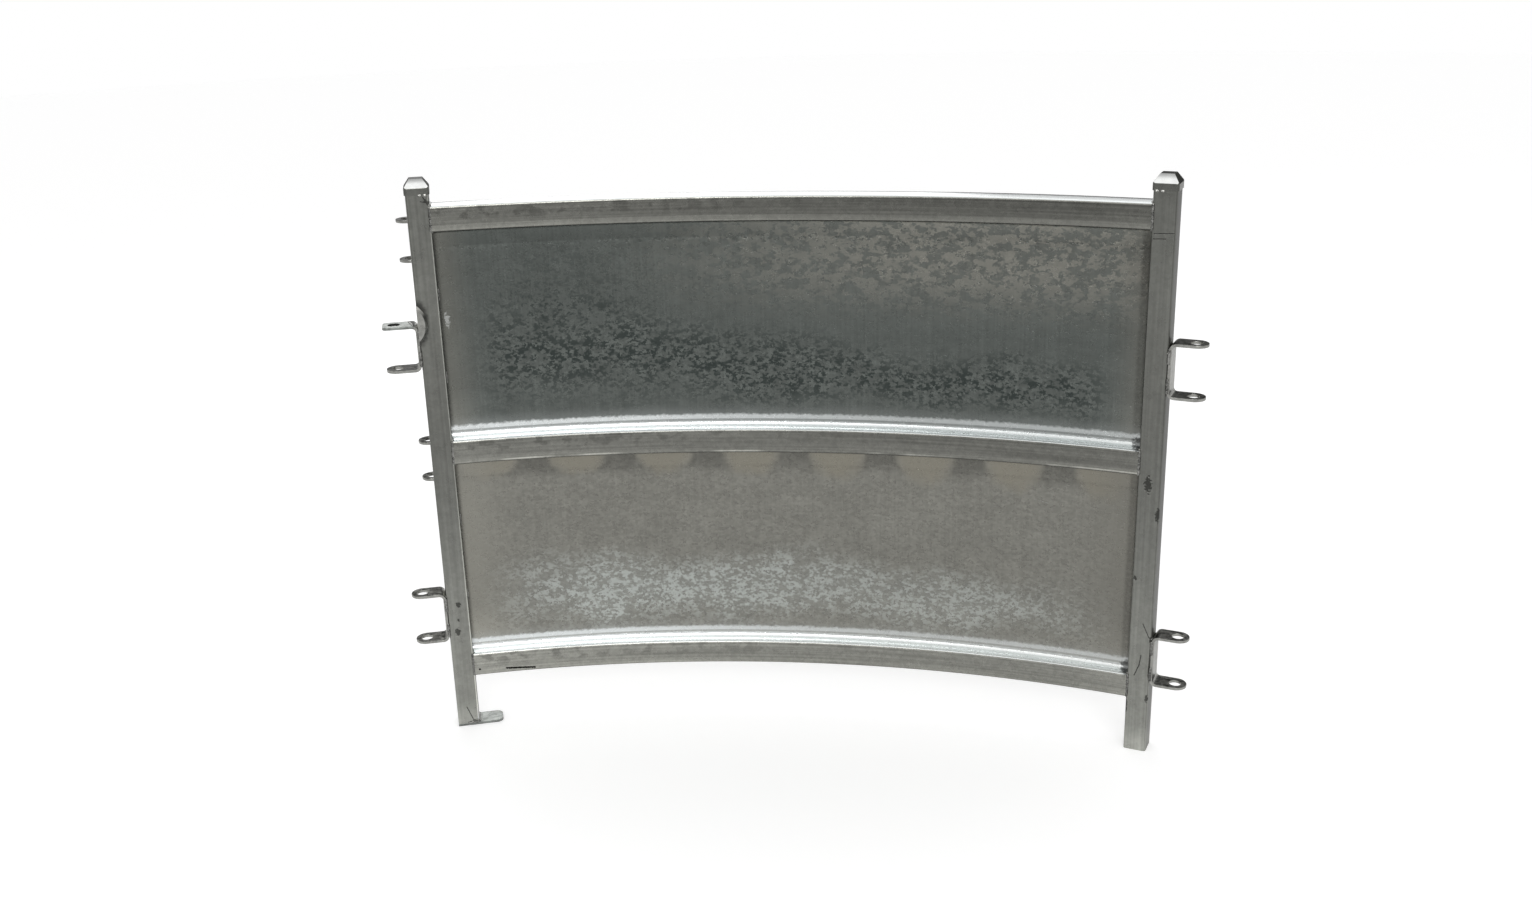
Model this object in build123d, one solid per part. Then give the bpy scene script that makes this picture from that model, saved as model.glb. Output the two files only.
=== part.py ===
from build123d import *
import math
import os

# Curved, sheeted sheep hurdle: one bay of a round pen, welded from galvanised steel.
# Millimetres. X runs along the hurdle, Y from its hollow side to its back, Z up.

# Frame
span = 1260.0  # straight across, from one post's centre line to the other's
panel_turn = 36.0  # what the panel turns through in plan: ten hurdles close a ring
post_size = 40.0
post_wall = 2.5
post_corner = 4.0
post_rise = 30.0  # how far the post tubes stand up past the highest rail
rail_size = 45.0
rail_wall = 2.0
rail_corner = 2.5  # how far the bent rails' corners are broken, in place of a rounding
bottom_rail_top = 150.0  # upper face of the lowest rail
rail_pitch = 424.0  # from one rail to the next

# Sheets, folded forwards along both edges and set back by a joggle below the rail
sheet_thick = 1.5
sheet_flange = 10.0
sheet_fold = 2.0  # how far the folds' inner corners are broken
joggle_depth = 2.0
joggle_height = 6.0
joggle_drop = 30.0  # from the rail above down to the joggle

# Flat bar of the brackets and the foot
bar_width = 40.0
bar_thick = 5.0
bar_bend = 7.0  # inside radius of the brackets' bends
pin_reach = 42.0  # from the face that a bracket stands on to the pin's centre line
pin_hole = 21.0
side_pitch = 92.0  # between the two lugs of a side bracket
left_upper_pitch = 79.0
back_pitch = 70.0
right_upper_drop = 262.0  # from the top of the post's tube down to the bracket's upper face
left_upper_drop = 237.5
back_upper_drop = 59.0
right_lower_height = 230.0  # from the ground up to the bracket's upper face
left_lower_height = 277.0
back_lower_height = 562.0
foot_reach = 45.0  # how far the foot plate runs in from the left post's inner face
foot_corner = 12.0

# The upper left bracket's replaced lug
repair_near = 8.0  # the slanting joint, from the post's face, at the front edge
repair_far = 18.0  # and at the back edge
repair_corner = 8.0

# Pressed caps
cap_wall = 1.5
cap_clearance = 0.25  # between the skirt and the tube, on each side
cap_corner = 5.0
cap_skirt = 12.0
cap_lap = 10.0  # how far the skirt reaches down over the tube
cap_rise = 15.0
cap_flat = 23.0

# Weld metal
bead_leg = 4.0  # fillet welds
flush_leg = 3.0  # beads laid over a flush joint
strap_run = 22.0  # length of each run on a strap
stitch_count = 8  # along each edge of a sheet
stitch_length = 25.0
sheet_tack = 18.0  # sheet to post
cap_tack = 6.0  # length of each tack under a cap
cap_tack_spacing = 9.0
pad_width = 17.0
pad_proud = 6.0
pad_height = 69.0
pad_rim = 4.0  # how far the pad's edge is broken
pad_rise = 1.5  # from the upper left bracket's upper face up to the pad's middle

half_turn = panel_turn / 2
arc_radius = span / 2 / math.sin(math.radians(half_turn))
arc_centre = -arc_radius * math.cos(math.radians(half_turn))
rail_tops = {
    "rail_top": bottom_rail_top + 2 * rail_pitch,
    "rail_middle": bottom_rail_top + rail_pitch,
    "rail_bottom": bottom_rail_top,
}
post_top = rail_tops["rail_top"] + post_rise
bar_bend_outside = bar_bend + bar_thick
post_flat = post_size - 2 * post_corner  # flat of a post's face


def post_frame(side):
    """Axes of a post, side -1 left and 1 right: x along the panel, y to the back."""
    return Location((side * span / 2, 0, 0), (0, 0, -side * half_turn))


def outer_face(side, height):
    """Axes on a post's outer face, with x pointing away from the panel."""
    turn = 0 if side > 0 else 180
    return post_frame(side) * Location((side * post_size / 2, 0, height), (0, 0, turn))


def polygon(points):
    """A flat face with straight edges."""
    return make_face(Polyline(*points, close=True))


def bent(profile, middle=0.0, turn=panel_turn):
    """Carry a profile, drawn as distance from the arc's centre against height, round the arc."""
    start = math.radians(middle + turn / 2)
    outwards = (math.sin(start), math.cos(start), 0)
    along = (math.cos(start), -math.sin(start), 0)
    plane = Plane(origin=(0, arc_centre, 0), x_dir=outwards, z_dir=along)
    return revolve(plane * profile, Axis((0, arc_centre, 0), (0, 0, 1)), turn)


def bay():
    """The room between the two posts' inner faces, from the ground to the post tops."""
    depth = 3 * rail_size
    corners = []
    for side, end in ((-1, -1), (-1, 1), (1, 1), (1, -1)):
        at = post_frame(side) * Pos(-side * post_size / 2, end * depth, 0)
        corners.append((at.position.X, at.position.Y))
    return extrude(polygon(corners), post_top)


def post(side, foot):
    """A square post tube from the height foot up to the cap."""
    bore = post_size - 2 * post_wall
    section = RectangleRounded(post_size, post_size, post_corner)
    section = section - RectangleRounded(bore, bore, post_corner - post_wall)
    return post_frame(side) * Pos(0, 0, foot) * extrude(section, post_top - foot)


def rail(top):
    """A rolled square tube whose ends are cut to the posts' inner faces."""
    bore = rail_size - 2 * rail_wall
    outside = chamfer(Rectangle(rail_size, rail_size).vertices(), rail_corner)
    section = outside - Rectangle(bore, bore)
    return bent(Pos(arc_radius, top - rail_size / 2) * section) & bay()


def sheet(low, high):
    """A sheet between the upper face of one rail and the underside of the next."""
    front = arc_radius - sheet_thick / 2
    joggle = high - joggle_drop
    set_back = front + joggle_depth
    face = [
        (front, low + sheet_thick),
        (front, joggle - joggle_height),
        (set_back, joggle),
        (set_back, high - sheet_thick),
    ]
    back = [
        (set_back + sheet_thick, high),
        (set_back + sheet_thick, joggle),
        (front + sheet_thick, joggle - joggle_height),
        (front + sheet_thick, low),
    ]
    lower_edge = [(front - sheet_flange, low), (front - sheet_flange, low + sheet_thick)]
    upper_edge = [(set_back - sheet_flange, high - sheet_thick), (set_back - sheet_flange, high)]
    profile = polygon(lower_edge + face + upper_edge + back)
    broken = ((face[0], sheet_fold), (face[-1], sheet_fold))
    broken += ((back[0], sheet_fold + sheet_thick), (back[-1], sheet_fold + sheet_thick))
    for corner, amount in broken:
        profile = chamfer(profile.vertices().sort_by_distance((*corner, 0))[0], amount)
    return bent(profile) & bay()


def u_bracket(pitch):
    """Flat bar bent to a U: strap on x = 0, lugs towards +x, upper lug's upper face at z = 0."""
    height = pitch + bar_thick
    reach = pin_reach + bar_width / 2
    outside = Pos(reach / 2, -height / 2) * Rectangle(reach, height)
    outside = fillet(outside.vertices().sort_by(Axis.X)[:2], bar_bend_outside)
    gap = Pos(bar_thick + reach / 2, -height / 2) * Rectangle(reach, pitch - bar_thick)
    gap = fillet(gap.vertices().sort_by(Axis.X)[:2], bar_bend)
    bar = extrude(Plane.XZ * (outside - gap), bar_width / 2, both=True)
    plan = Pos(pin_reach / 2, 0) * Rectangle(pin_reach, bar_width)
    plan = plan + Pos(pin_reach, 0) * Circle(bar_width / 2)
    pin = Pos(pin_reach, 0, -height / 2) * Cylinder(pin_hole / 2, 2 * height)
    return (bar & extrude(plan, height, dir=(0, 0, -1))) - pin


def repair_zone():
    """Space beyond the slanting joint across the upper left bracket's upper arm."""
    half = bar_width
    slope = (repair_near - repair_far) / bar_width
    middle = (repair_near + repair_far) / 2
    far = 2 * (pin_reach + bar_width)
    plan = [
        (middle - slope * half, -half),
        (far, -half),
        (far, half),
        (middle + slope * half, half),
    ]
    return Pos(0, 0, -bar_thick) * extrude(polygon(plan), 2 * bar_thick)


def repair_plate():
    """The replaced lug: the same bar with a blunt end, and the same pin hole."""
    reach = pin_reach + bar_width / 2
    plan = Pos(reach / 2, 0) * Rectangle(reach, bar_width)
    plan = fillet(plan.vertices().sort_by(Axis.X)[-2:], repair_corner)
    plate = extrude(plan, bar_thick, dir=(0, 0, -1))
    return plate - Pos(pin_reach, 0, -bar_thick / 2) * Cylinder(pin_hole / 2, 2 * bar_thick)


def repair_bead():
    """Weld along the slanting joint, before the bars are cut from it."""
    middle = (repair_near + repair_far) / 2
    slant = math.degrees(math.atan2(repair_far - repair_near, bar_width))
    return Location((middle, 0, 0), (0, 0, 90 + slant)) * flush_bead(bar_width - bar_thick)


def tapered(low, high, height):
    """A square block that draws in from one width to another over its height."""
    slope = math.degrees(math.atan2((low - high) / 2, height))
    return extrude(Rectangle(low, low), height, taper=slope)


def cap():
    """A pressed cap, seated on the tube's end at z = 0."""
    size = post_size + 2 * (cap_clearance + cap_wall)
    shoulder = cap_skirt - cap_lap
    outline = extrude(RectangleRounded(size, size, cap_corner), cap_skirt + cap_rise)
    crown = Pos(0, 0, shoulder) * tapered(size, cap_flat, cap_rise)
    skirt = Pos(0, 0, -cap_lap) * extrude(Rectangle(size, size), cap_skirt)
    body = (skirt + crown) & (Pos(0, 0, -cap_lap) * outline)
    bore = post_size + 2 * cap_clearance
    socket = extrude(RectangleRounded(bore, bore, cap_corner - cap_wall), cap_lap)
    seat = post_size - 2 * post_wall
    hollow = tapered(seat, cap_flat - 2 * cap_wall, shoulder + cap_rise - cap_wall)
    return body - Pos(0, 0, -cap_lap) * socket - hollow


def fillet_bead(length):
    """Fillet weld along y in the corner of a wall at x = 0 and a floor at z = 0."""
    section = polygon([(0, 0), (bead_leg, 0), (0, bead_leg)])
    return extrude(Plane.XZ * section, length / 2, both=True)


def flush_bead(length):
    """Weld along x over a flush joint, before its neighbours are cut from it."""
    return Rotation(45, 0, 0) * Box(length, flush_leg, flush_leg)


def corner_bead(plan, edge, length):
    """Vertical weld at a post's corner: plan holds x against the distance from the middle."""
    return extrude(polygon([(x, edge * y) for x, y in plan]), length / 2, both=True)


def cut_from(beads, bodies):
    """Beads with their neighbours cut away, so that they lie face to face."""
    for body in bodies:
        beads = [piece for bead in beads for piece in (bead - body).solids()]
    return beads


def rail_end_beads(sheets):
    """Welds round the left ends of the rails: above, below, before and behind."""
    beads = []
    at_face = post_frame(-1) * Pos(post_size / 2, 0, 0)
    plan = [(0, rail_size / 2), (0, post_size / 2), (-post_corner - bead_leg / 2, post_size / 2)]
    for top in rail_tops.values():
        above = at_face * Pos(0, 0, top) * fillet_bead(post_flat)
        under = at_face * Pos(0, 0, top - rail_size) * Rotation(180, 0, 0) * fillet_bead(post_flat)
        beads += cut_from([above, under], sheets)
        for edge in (-1, 1):
            run = corner_bead(plan, edge, rail_size - 2 * rail_corner)
            beads.append(at_face * Pos(0, 0, top - rail_size / 2) * run)
    return beads


def strap_beads(side, height, pitch):
    """Runs down both edges of a side bracket's strap, near its two bends."""
    beads = []
    plan = [
        (-post_corner - bead_leg / 2, post_size / 2),
        (-bead_leg / 4, post_size / 2 + bead_leg / 2),
        (bar_thick - bead_leg / 2, bar_width / 2),
    ]
    inset = bar_bend_outside + strap_run / 2
    for edge in (-1, 1):
        for drop in (inset, pitch + bar_thick - inset):
            run = corner_bead(plan, edge, strap_run)
            beads.append(outer_face(side, height - drop) * run)
    return beads


def back_beads(height):
    """Welds of a back bracket: along the strap's edge, over the upper lug and under the lower."""
    face = post_frame(-1) * Location((0, post_size / 2, height), (0, 0, 90))
    depth = back_pitch + bar_thick
    upright = Rotation(-90, 0, 0) * fillet_bead(depth - 2 * bar_bend_outside)
    beads = [face * Pos(0, bar_thick - post_size / 2, -depth / 2) * upright]
    across = fillet_bead(post_flat - bar_bend_outside)
    middle = bar_bend_outside / 2
    beads.append(face * Pos(0, middle, 0) * across)
    beads.append(face * Pos(0, middle, -depth) * Rotation(180, 0, 0) * across)
    return beads


def cap_tacks(tube, cover, side):
    """Short tacks under a cap's skirt, two in front and one behind."""
    tacks = []
    inwards = -side * cap_tack_spacing
    for along, edge in ((inwards / 2, -1), (3 * inwards / 2, -1), (0, 1)):
        place = post_frame(side) * Pos(along, edge * post_size / 2, post_top - cap_lap)
        tacks += cut_from([place * flush_bead(cap_tack)], [tube, cover])
    return tacks


def sheet_stitches(low, high):
    """Stitches behind one sheet, along the rail below it and the rail above it."""
    beads = []
    lift = sheet_fold + sheet_thick + bead_leg
    turn = math.degrees(stitch_length / arc_radius)
    for edge, up, offset in ((low, 1, 0), (high, -1, joggle_depth)):
        back = arc_radius + sheet_thick / 2 + offset
        section = polygon([(back, edge), (back + bead_leg, edge), (back, edge + up * lift)])
        for index in range(stitch_count):
            middle = panel_turn * ((index + 0.5) / stitch_count - 0.5)
            beads.append(bent(section, middle, turn))
    return beads


def sheet_tacks(low, high):
    """Two tacks in front that hold the left edge of one sheet to the post."""
    at_face = post_frame(-1) * Pos(post_size / 2, -sheet_thick / 2, 0)
    tack = Rotation(90, 0, 0) * fillet_bead(sheet_tack)
    return [at_face * Pos(0, 0, low + share * (high - low)) * tack for share in (0.3, 0.7)]


def weld_pad():
    """The D-shaped pad, before the post is cut from it: part of a disc with a broken rim."""
    radius = ((pad_height / 2) ** 2 + pad_width**2) / (2 * pad_width)
    disc = extrude(Plane.XZ * Circle(radius), pad_proud + post_wall)
    disc = chamfer(disc.edges().sort_by(Axis.Y)[0], pad_rim)
    disc = Pos(pad_width - radius, post_wall, 0) * disc
    disc = disc & (Pos(radius, 0, 0) * Box(2 * radius, 2 * radius, 2 * radius))
    return outer_face(-1, post_top - left_upper_drop + pad_rise) * Rotation(0, 0, 180) * (
        Pos(0, -post_size / 2, 0) * disc
    )


nodes = {}

# Posts and caps
nodes["post_left"] = post(-1, bar_thick)
nodes["post_right"] = post(1, 0)
nodes["cap_left"] = post_frame(-1) * Pos(0, 0, post_top) * cap()
nodes["cap_right"] = post_frame(1) * Pos(0, 0, post_top) * cap()

# Rails and sheets
for name, top in rail_tops.items():
    nodes[name] = rail(top)
sheet_edges = {
    "sheet_upper": (rail_tops["rail_middle"], rail_tops["rail_top"] - rail_size),
    "sheet_lower": (rail_tops["rail_bottom"], rail_tops["rail_middle"] - rail_size),
}
for name, (low, high) in sheet_edges.items():
    nodes[name] = sheet(low, high)

# Side brackets
side_brackets = {
    "bracket_right_upper": (1, post_top - right_upper_drop, side_pitch),
    "bracket_right_lower": (1, right_lower_height, side_pitch),
    "bracket_left_upper": (-1, post_top - left_upper_drop, left_upper_pitch),
    "bracket_left_lower": (-1, left_lower_height, side_pitch),
}
for name, (side, height, pitch) in side_brackets.items():
    nodes[name] = outer_face(side, height) * u_bracket(pitch)
repair_place = outer_face(-1, post_top - left_upper_drop)
beyond_joint = repair_place * repair_zone()
nodes["bracket_left_upper"] = nodes["bracket_left_upper"] - beyond_joint
nodes["repair_lug"] = (repair_place * repair_plate()) & beyond_joint

# Brackets welded by their edge to the back of the left post
back_brackets = {
    "bracket_back_upper": post_top - back_upper_drop,
    "bracket_back_lower": back_lower_height,
}
for name, height in back_brackets.items():
    seat = Location((post_size / 2, (post_size + bar_width) / 2, height), (0, 0, 180))
    nodes[name] = post_frame(-1) * seat * u_bracket(back_pitch)

# Foot plate, flush with the post on three sides
foot_length = post_size + foot_reach
foot_plan = Pos(foot_length / 2 - post_size / 2, 0) * Rectangle(foot_length, bar_width)
foot_plan = fillet(foot_plan.vertices().sort_by(Axis.X)[-2:], foot_corner)
nodes["foot_plate"] = post_frame(-1) * extrude(foot_plan, bar_thick)

# Pad on the front of the left post, D-shaped with its straight side flush with the post
nodes["weld_pad_left"] = weld_pad() - nodes["post_left"]

# Welds round the rail ends
sheets = [nodes[name] for name in sheet_edges]
end_beads = rail_end_beads(sheets)
nodes["weld_rails_right"] = mirror(Compound(end_beads), about=Plane.YZ)
end_beads = cut_from(end_beads, [nodes[name] for name in back_brackets])
nodes["weld_rails_left"] = Compound(end_beads)

# Welds of the brackets
strap_runs = {-1: [], 1: []}
for name, (side, height, pitch) in side_brackets.items():
    strap_runs[side] += cut_from(strap_beads(side, height, pitch), [nodes["weld_pad_left"]])
nodes["weld_brackets_left"] = Compound(strap_runs[-1])
nodes["weld_brackets_right"] = Compound(strap_runs[1])
rear_beads = []
for name, height in back_brackets.items():
    neighbours = [nodes[name], nodes["post_left"], nodes["weld_rails_left"]]
    rear_beads += cut_from(back_beads(height), neighbours)
nodes["weld_brackets_back"] = Compound(rear_beads)
joint_bead = cut_from([repair_place * repair_bead()], [nodes["bracket_left_upper"], nodes["repair_lug"]])
nodes["weld_repair"] = Compound(joint_bead)

# Tacks of the caps, the sheets and the foot plate
tacks = cap_tacks(nodes["post_left"], nodes["cap_left"], -1)
tacks += cap_tacks(nodes["post_right"], nodes["cap_right"], 1)
nodes["weld_caps"] = Compound(tacks)

sheet_beads = []
for name, (low, high) in sheet_edges.items():
    left_tacks = cut_from(sheet_tacks(low, high), [nodes[name]])
    right_tacks = [mirror(tack, about=Plane.YZ) for tack in left_tacks]
    sheet_beads += sheet_stitches(low, high) + left_tacks + right_tacks
nodes["weld_sheets"] = Compound(sheet_beads)

foot_inner = Pos(post_size / 2, 0, bar_thick) * fillet_bead(post_flat)
foot_front = Pos(post_flat / 4, -post_size / 2, bar_thick) * flush_bead(post_flat / 2)
foot_beads = [post_frame(-1) * foot_inner, post_frame(-1) * foot_front]
foot_beads = cut_from(foot_beads, [nodes["post_left"], nodes["foot_plate"]])
nodes["weld_foot"] = Compound(foot_beads)

# The middle of the ground that the hurdle covers is the origin
boxes = [shape.bounding_box() for shape in nodes.values()]
middle_x = (min(box.min.X for box in boxes) + max(box.max.X for box in boxes)) / 2
middle_y = (min(box.min.Y for box in boxes) + max(box.max.Y for box in boxes)) / 2
to_origin = Pos(-middle_x, -middle_y, 0)

os.makedirs("parts", exist_ok=True)
for name, shape in nodes.items():
    nodes[name] = to_origin * shape
    export_step(nodes[name], "parts/" + name + ".step")
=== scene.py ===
"""Curved, sheeted sheep hurdle in galvanised steel: its finish and its studio."""
import math
import random

import bpy
from mathutils import Matrix, Vector


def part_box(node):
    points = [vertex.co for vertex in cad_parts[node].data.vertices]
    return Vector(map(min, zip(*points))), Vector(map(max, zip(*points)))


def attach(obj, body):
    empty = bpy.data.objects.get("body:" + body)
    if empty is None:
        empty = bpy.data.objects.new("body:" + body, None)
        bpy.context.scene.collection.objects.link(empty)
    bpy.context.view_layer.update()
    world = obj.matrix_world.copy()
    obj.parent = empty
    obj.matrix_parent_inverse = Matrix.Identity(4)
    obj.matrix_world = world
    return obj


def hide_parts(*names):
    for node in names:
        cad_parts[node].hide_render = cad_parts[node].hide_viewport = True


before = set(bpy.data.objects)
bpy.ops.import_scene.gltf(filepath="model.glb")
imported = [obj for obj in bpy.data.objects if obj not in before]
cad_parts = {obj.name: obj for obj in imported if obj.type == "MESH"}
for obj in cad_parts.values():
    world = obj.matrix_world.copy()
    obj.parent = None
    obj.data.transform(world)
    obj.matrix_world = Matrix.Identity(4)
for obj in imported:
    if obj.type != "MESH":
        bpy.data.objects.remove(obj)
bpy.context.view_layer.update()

bl_info = {
    "name": "Curved Sheep Hurdle",
    "version": (1, 0, 0),
    "blender": (4, 5, 0),
    "location": "3D View > Sidebar > Hurdle",
    "description": "Builds a curved, sheeted sheep hurdle with its zinc finishes and a plain studio",
    "category": "Add Mesh",
}

PANEL_TURN = math.radians(36.0)
HALF_TURN = PANEL_TURN / 2
SHEET_THICK = 0.0015
SHEET_FLANGE = 0.010
JOGGLE_DEPTH = 0.0005
JOGGLE_HEIGHT = 0.006
JOGGLE_DROP = 0.030
BAR_THICK = 0.005
BAR_BEND_OUTSIDE = 0.012
CAP_LAP = 0.010
STITCH_COUNT = 8
STITCH_LENGTH = 0.025
SIDES = (-1, 1)
RAILS = ("rail_bottom", "rail_middle", "rail_top")
SIDE_BRACKETS = {
    "bracket_right_upper": 1,
    "bracket_right_lower": 1,
    "bracket_left_upper": -1,
    "bracket_left_lower": -1,
}
BACK_BRACKETS = ("bracket_back_upper", "bracket_back_lower")


def middle_of(node):
    """The middle of a part's box."""
    low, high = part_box(node)
    return (Vector(low) + Vector(high)) / 2


def bottom_of(node):
    """The lowest height of a part."""
    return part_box(node)[0][2]


def top_of(node):
    """The greatest height of a part."""
    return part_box(node)[1][2]


POST_AT = {-1: middle_of("post_left"), 1: middle_of("post_right")}
CHORD = ((POST_AT[-1] + POST_AT[1]) / 2) * Vector((1, 1, 0))
ARC_RADIUS = (POST_AT[1] - POST_AT[-1]).xy.length / 2 / math.sin(HALF_TURN)
ARC_CENTRE = CHORD - Vector((0, ARC_RADIUS * math.cos(HALF_TURN), 0))
RAIL_SIZE = 0.045
RAIL_PITCH = 0.424
POST_SIZE = 0.040
POST_HALF = POST_SIZE / 2
POST_FLAT = 0.032
POST_TOP = top_of("post_left")
RAIL_TOP = {"rail_top": 0.998, "rail_middle": 0.574, "rail_bottom": 0.150}
SHEET_EDGES = {
    "sheet_upper": (RAIL_TOP["rail_middle"], RAIL_TOP["rail_top"] - RAIL_SIZE),
    "sheet_lower": (RAIL_TOP["rail_bottom"], RAIL_TOP["rail_middle"] - RAIL_SIZE),
}


# Properties


class HurdleShapes(bpy.types.PropertyGroup):
    """Roundings and small shapes of the finished pieces."""

    rail_corner: bpy.props.FloatProperty(
        name="Rail corner", description="Outside radius of the rails' corners",
        default=0.0035, min=0.001, max=0.01, unit="LENGTH",
    )
    sheet_fold: bpy.props.FloatProperty(
        name="Sheet fold", description="Radius of the sheets' folds",
        default=0.008, min=0.001, max=0.0095, unit="LENGTH",
    )
    bar_edge: bpy.props.FloatProperty(
        name="Bar edge", description="How far the flat bar's edges are rounded",
        default=0.0006, min=0.0001, max=0.002, unit="LENGTH",
    )
    cap_edge: bpy.props.FloatProperty(
        name="Cap edge", description="How far the pressed caps' edges are rounded",
        default=0.0012, min=0.0001, max=0.003, unit="LENGTH",
    )
    bead_radius: bpy.props.FloatProperty(
        name="Bead radius", description="Half the width of a weld bead",
        default=0.0029, min=0.001, max=0.005, unit="LENGTH",
    )
    bead_step: bpy.props.FloatProperty(
        name="Ripple step", description="From one ripple of a weld bead to the next",
        default=0.0022, min=0.0005, max=0.005, unit="LENGTH",
    )
    waviness: bpy.props.FloatProperty(
        name="Waviness", description="How far the thin sheets wander from a true arc",
        default=0.0009, min=0.0, max=0.003, unit="LENGTH",
    )


def colour_property(name, description, value):
    """A colour that a user may change."""
    return bpy.props.FloatVectorProperty(
        name=name, description=description, default=value, size=3, min=0.0, max=1.0, subtype="COLOR",
    )


class HurdleFinish(bpy.types.PropertyGroup):
    """Zinc colours of the finished pieces."""

    post_zinc: colour_property("Post zinc", "Dull zinc of the post tubes", (0.15, 0.152, 0.14))
    rail_zinc: colour_property("Rail zinc", "Dull zinc of the rolled rails", (0.17, 0.17, 0.155))
    # Painted highlight: the near-white colour laid on faces that look up, on the sheets' painted fold reflection and on
    # glints; also the colour of a bright scratch on the lower sheet.
    highlight_and_scratch_zinc: colour_property("Ledge zinc", "Clean zinc where a rail or sheet looks up", (0.75, 0.78, 0.78))
    margin_zinc: colour_property("Margin zinc", "Warm zinc of the sheets beside the posts", (0.22, 0.215, 0.19))
    upper_zinc: colour_property("Upper sheet", "Dark grey-green zinc of the upper sheet", (0.135, 0.147, 0.138))
    upper_light: colour_property("Upper patches", "Beige patches of the upper sheet", (0.30, 0.295, 0.262))
    dark_fleck: colour_property("Dark flecks", "Darkest crystals of the upper sheet", (0.045, 0.055, 0.052))
    lower_zinc: colour_property("Lower sheet", "Warm grey zinc of the lower sheet", (0.25, 0.247, 0.222))
    lower_light: colour_property("Lower flecks", "Bluish flecks of the lower sheet", (0.50, 0.525, 0.50))
    # Beige of the scallops in line with the stitches under the middle rail.
    scallop_beige: colour_property("Heat marks", "Beige of the heat marks", (0.285, 0.268, 0.22))
    bar_zinc: colour_property("Bar zinc", "Zinc of the brackets", (0.16, 0.16, 0.15))
    bright_zinc: colour_property("Bright zinc", "Mottled zinc of the newer bar", (0.30, 0.315, 0.30))
    # Painted highlight: near-white colour of the caps' front crown facets.
    cap_facet_highlight: colour_property("Cap steel", "Pressed steel of the caps' crowns", (0.80, 0.81, 0.80))
    weld_metal: colour_property("Weld metal", "Zinc over the weld beads", (0.20, 0.20, 0.19))
    # Dark colour of burnt and tarry marks, also used for painted shade where the ledges meet the right post and inside
    # the replaced lug's hole.
    burnt_and_shade: colour_property("Burnt zinc", "Burnt and tarry marks", (0.012, 0.012, 0.011))


class HurdleStage(bpy.types.PropertyGroup):
    """Light, floor and camera."""

    floor_colour: colour_property("Floor", "Colour of the floor", (0.86, 0.86, 0.86))
    world_strength: bpy.props.FloatProperty(
        name="Sky", description="Strength of the soft sky", default=0.78, min=0.0, max=3.0,
    )
    front_watts: bpy.props.FloatProperty(
        name="Front light", description="Power of the large light over the camera",
        default=120.0, min=0.0, max=2000.0, unit="POWER",
    )
    back_watts: bpy.props.FloatProperty(
        name="Back light", description="Power of the large light behind the hurdle",
        default=30.0, min=0.0, max=2000.0, unit="POWER",
    )
    lens: bpy.props.FloatProperty(
        name="Lens", description="Focal length on a 36 mm sensor, in millimetres",
        default=36.99, min=10.0, max=200.0,
    )
    camera_yaw: bpy.props.FloatProperty(
        name="Camera yaw", description="Turn of the view to the right",
        default=math.radians(-7.4152), subtype="ANGLE",
    )
    camera_pitch: bpy.props.FloatProperty(
        name="Camera pitch", description="Tilt of the view downwards",
        default=math.radians(19.2392), subtype="ANGLE",
    )
    camera_roll: bpy.props.FloatProperty(
        name="Camera roll", description="Roll of the view",
        default=math.radians(-1.6225), subtype="ANGLE",
    )
    camera_at: bpy.props.FloatVectorProperty(
        name="Camera place", description="From the middle between the posts, on the ground",
        default=(0.3006, -2.6062, 1.4678), size=3, subtype="XYZ_LENGTH",
    )


# Places


def post_axes(side):
    """Axes of a post, side -1 left and 1 right: x along the panel, y to the back."""
    place = Matrix.Translation(POST_AT[side] * Vector((1, 1, 0)))
    return place @ Matrix.Rotation(-side * HALF_TURN, 4, "Z")


def on_arc(angle, radius, height):
    """A point at an angle from the arc's middle, to the right, and a distance from its centre."""
    across = Vector((math.sin(angle), math.cos(angle), 0)) * radius
    return ARC_CENTRE + across + Vector((0, 0, height))


# Working as by hand


def deselect():
    """Leave edit mode and select nothing."""
    if bpy.context.object and bpy.context.object.mode != "OBJECT":
        bpy.ops.object.mode_set(mode="OBJECT")
    bpy.ops.object.select_all(action="DESELECT")


def take(*pieces):
    """Select these pieces alone, the first one active."""
    deselect()
    for piece in pieces:
        piece.select_set(True)
    bpy.context.view_layer.objects.active = pieces[0]


def edit(piece, kind="VERT"):
    """Open a piece in edit mode with all of it selected."""
    take(piece)
    bpy.ops.object.mode_set(mode="EDIT")
    bpy.ops.mesh.select_mode(type=kind)
    bpy.ops.mesh.select_all(action="SELECT")


def finish_edit():
    """Close edit mode."""
    bpy.ops.object.mode_set(mode="OBJECT")


def settle(piece):
    """Put a piece's place into its mesh."""
    take(piece)
    bpy.ops.object.transform_apply(location=True, rotation=True, scale=True)


def modify(piece, kind, **settings):
    """Add a modifier with these settings and apply it."""
    take(piece)
    bpy.ops.object.modifier_add(type=kind)
    added = piece.modifiers[-1]
    for name, value in settings.items():
        setattr(added, name, value)
    bpy.ops.object.modifier_apply(modifier=added.name)


def smooth(piece, degrees=35.0):
    """Shade smooth except over sharper edges."""
    take(piece)
    bpy.ops.object.shade_smooth_by_angle(angle=math.radians(degrees))


def finished(piece, name, material, slot, *nodes):
    """Name a piece, give it its finish, and let it ride in place of its solids."""
    piece.name = name
    piece.data.name = name
    piece.data.materials.clear()
    piece.data.materials.append(material)
    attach(piece, "root")
    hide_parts(*nodes)
    deselect()


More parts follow.
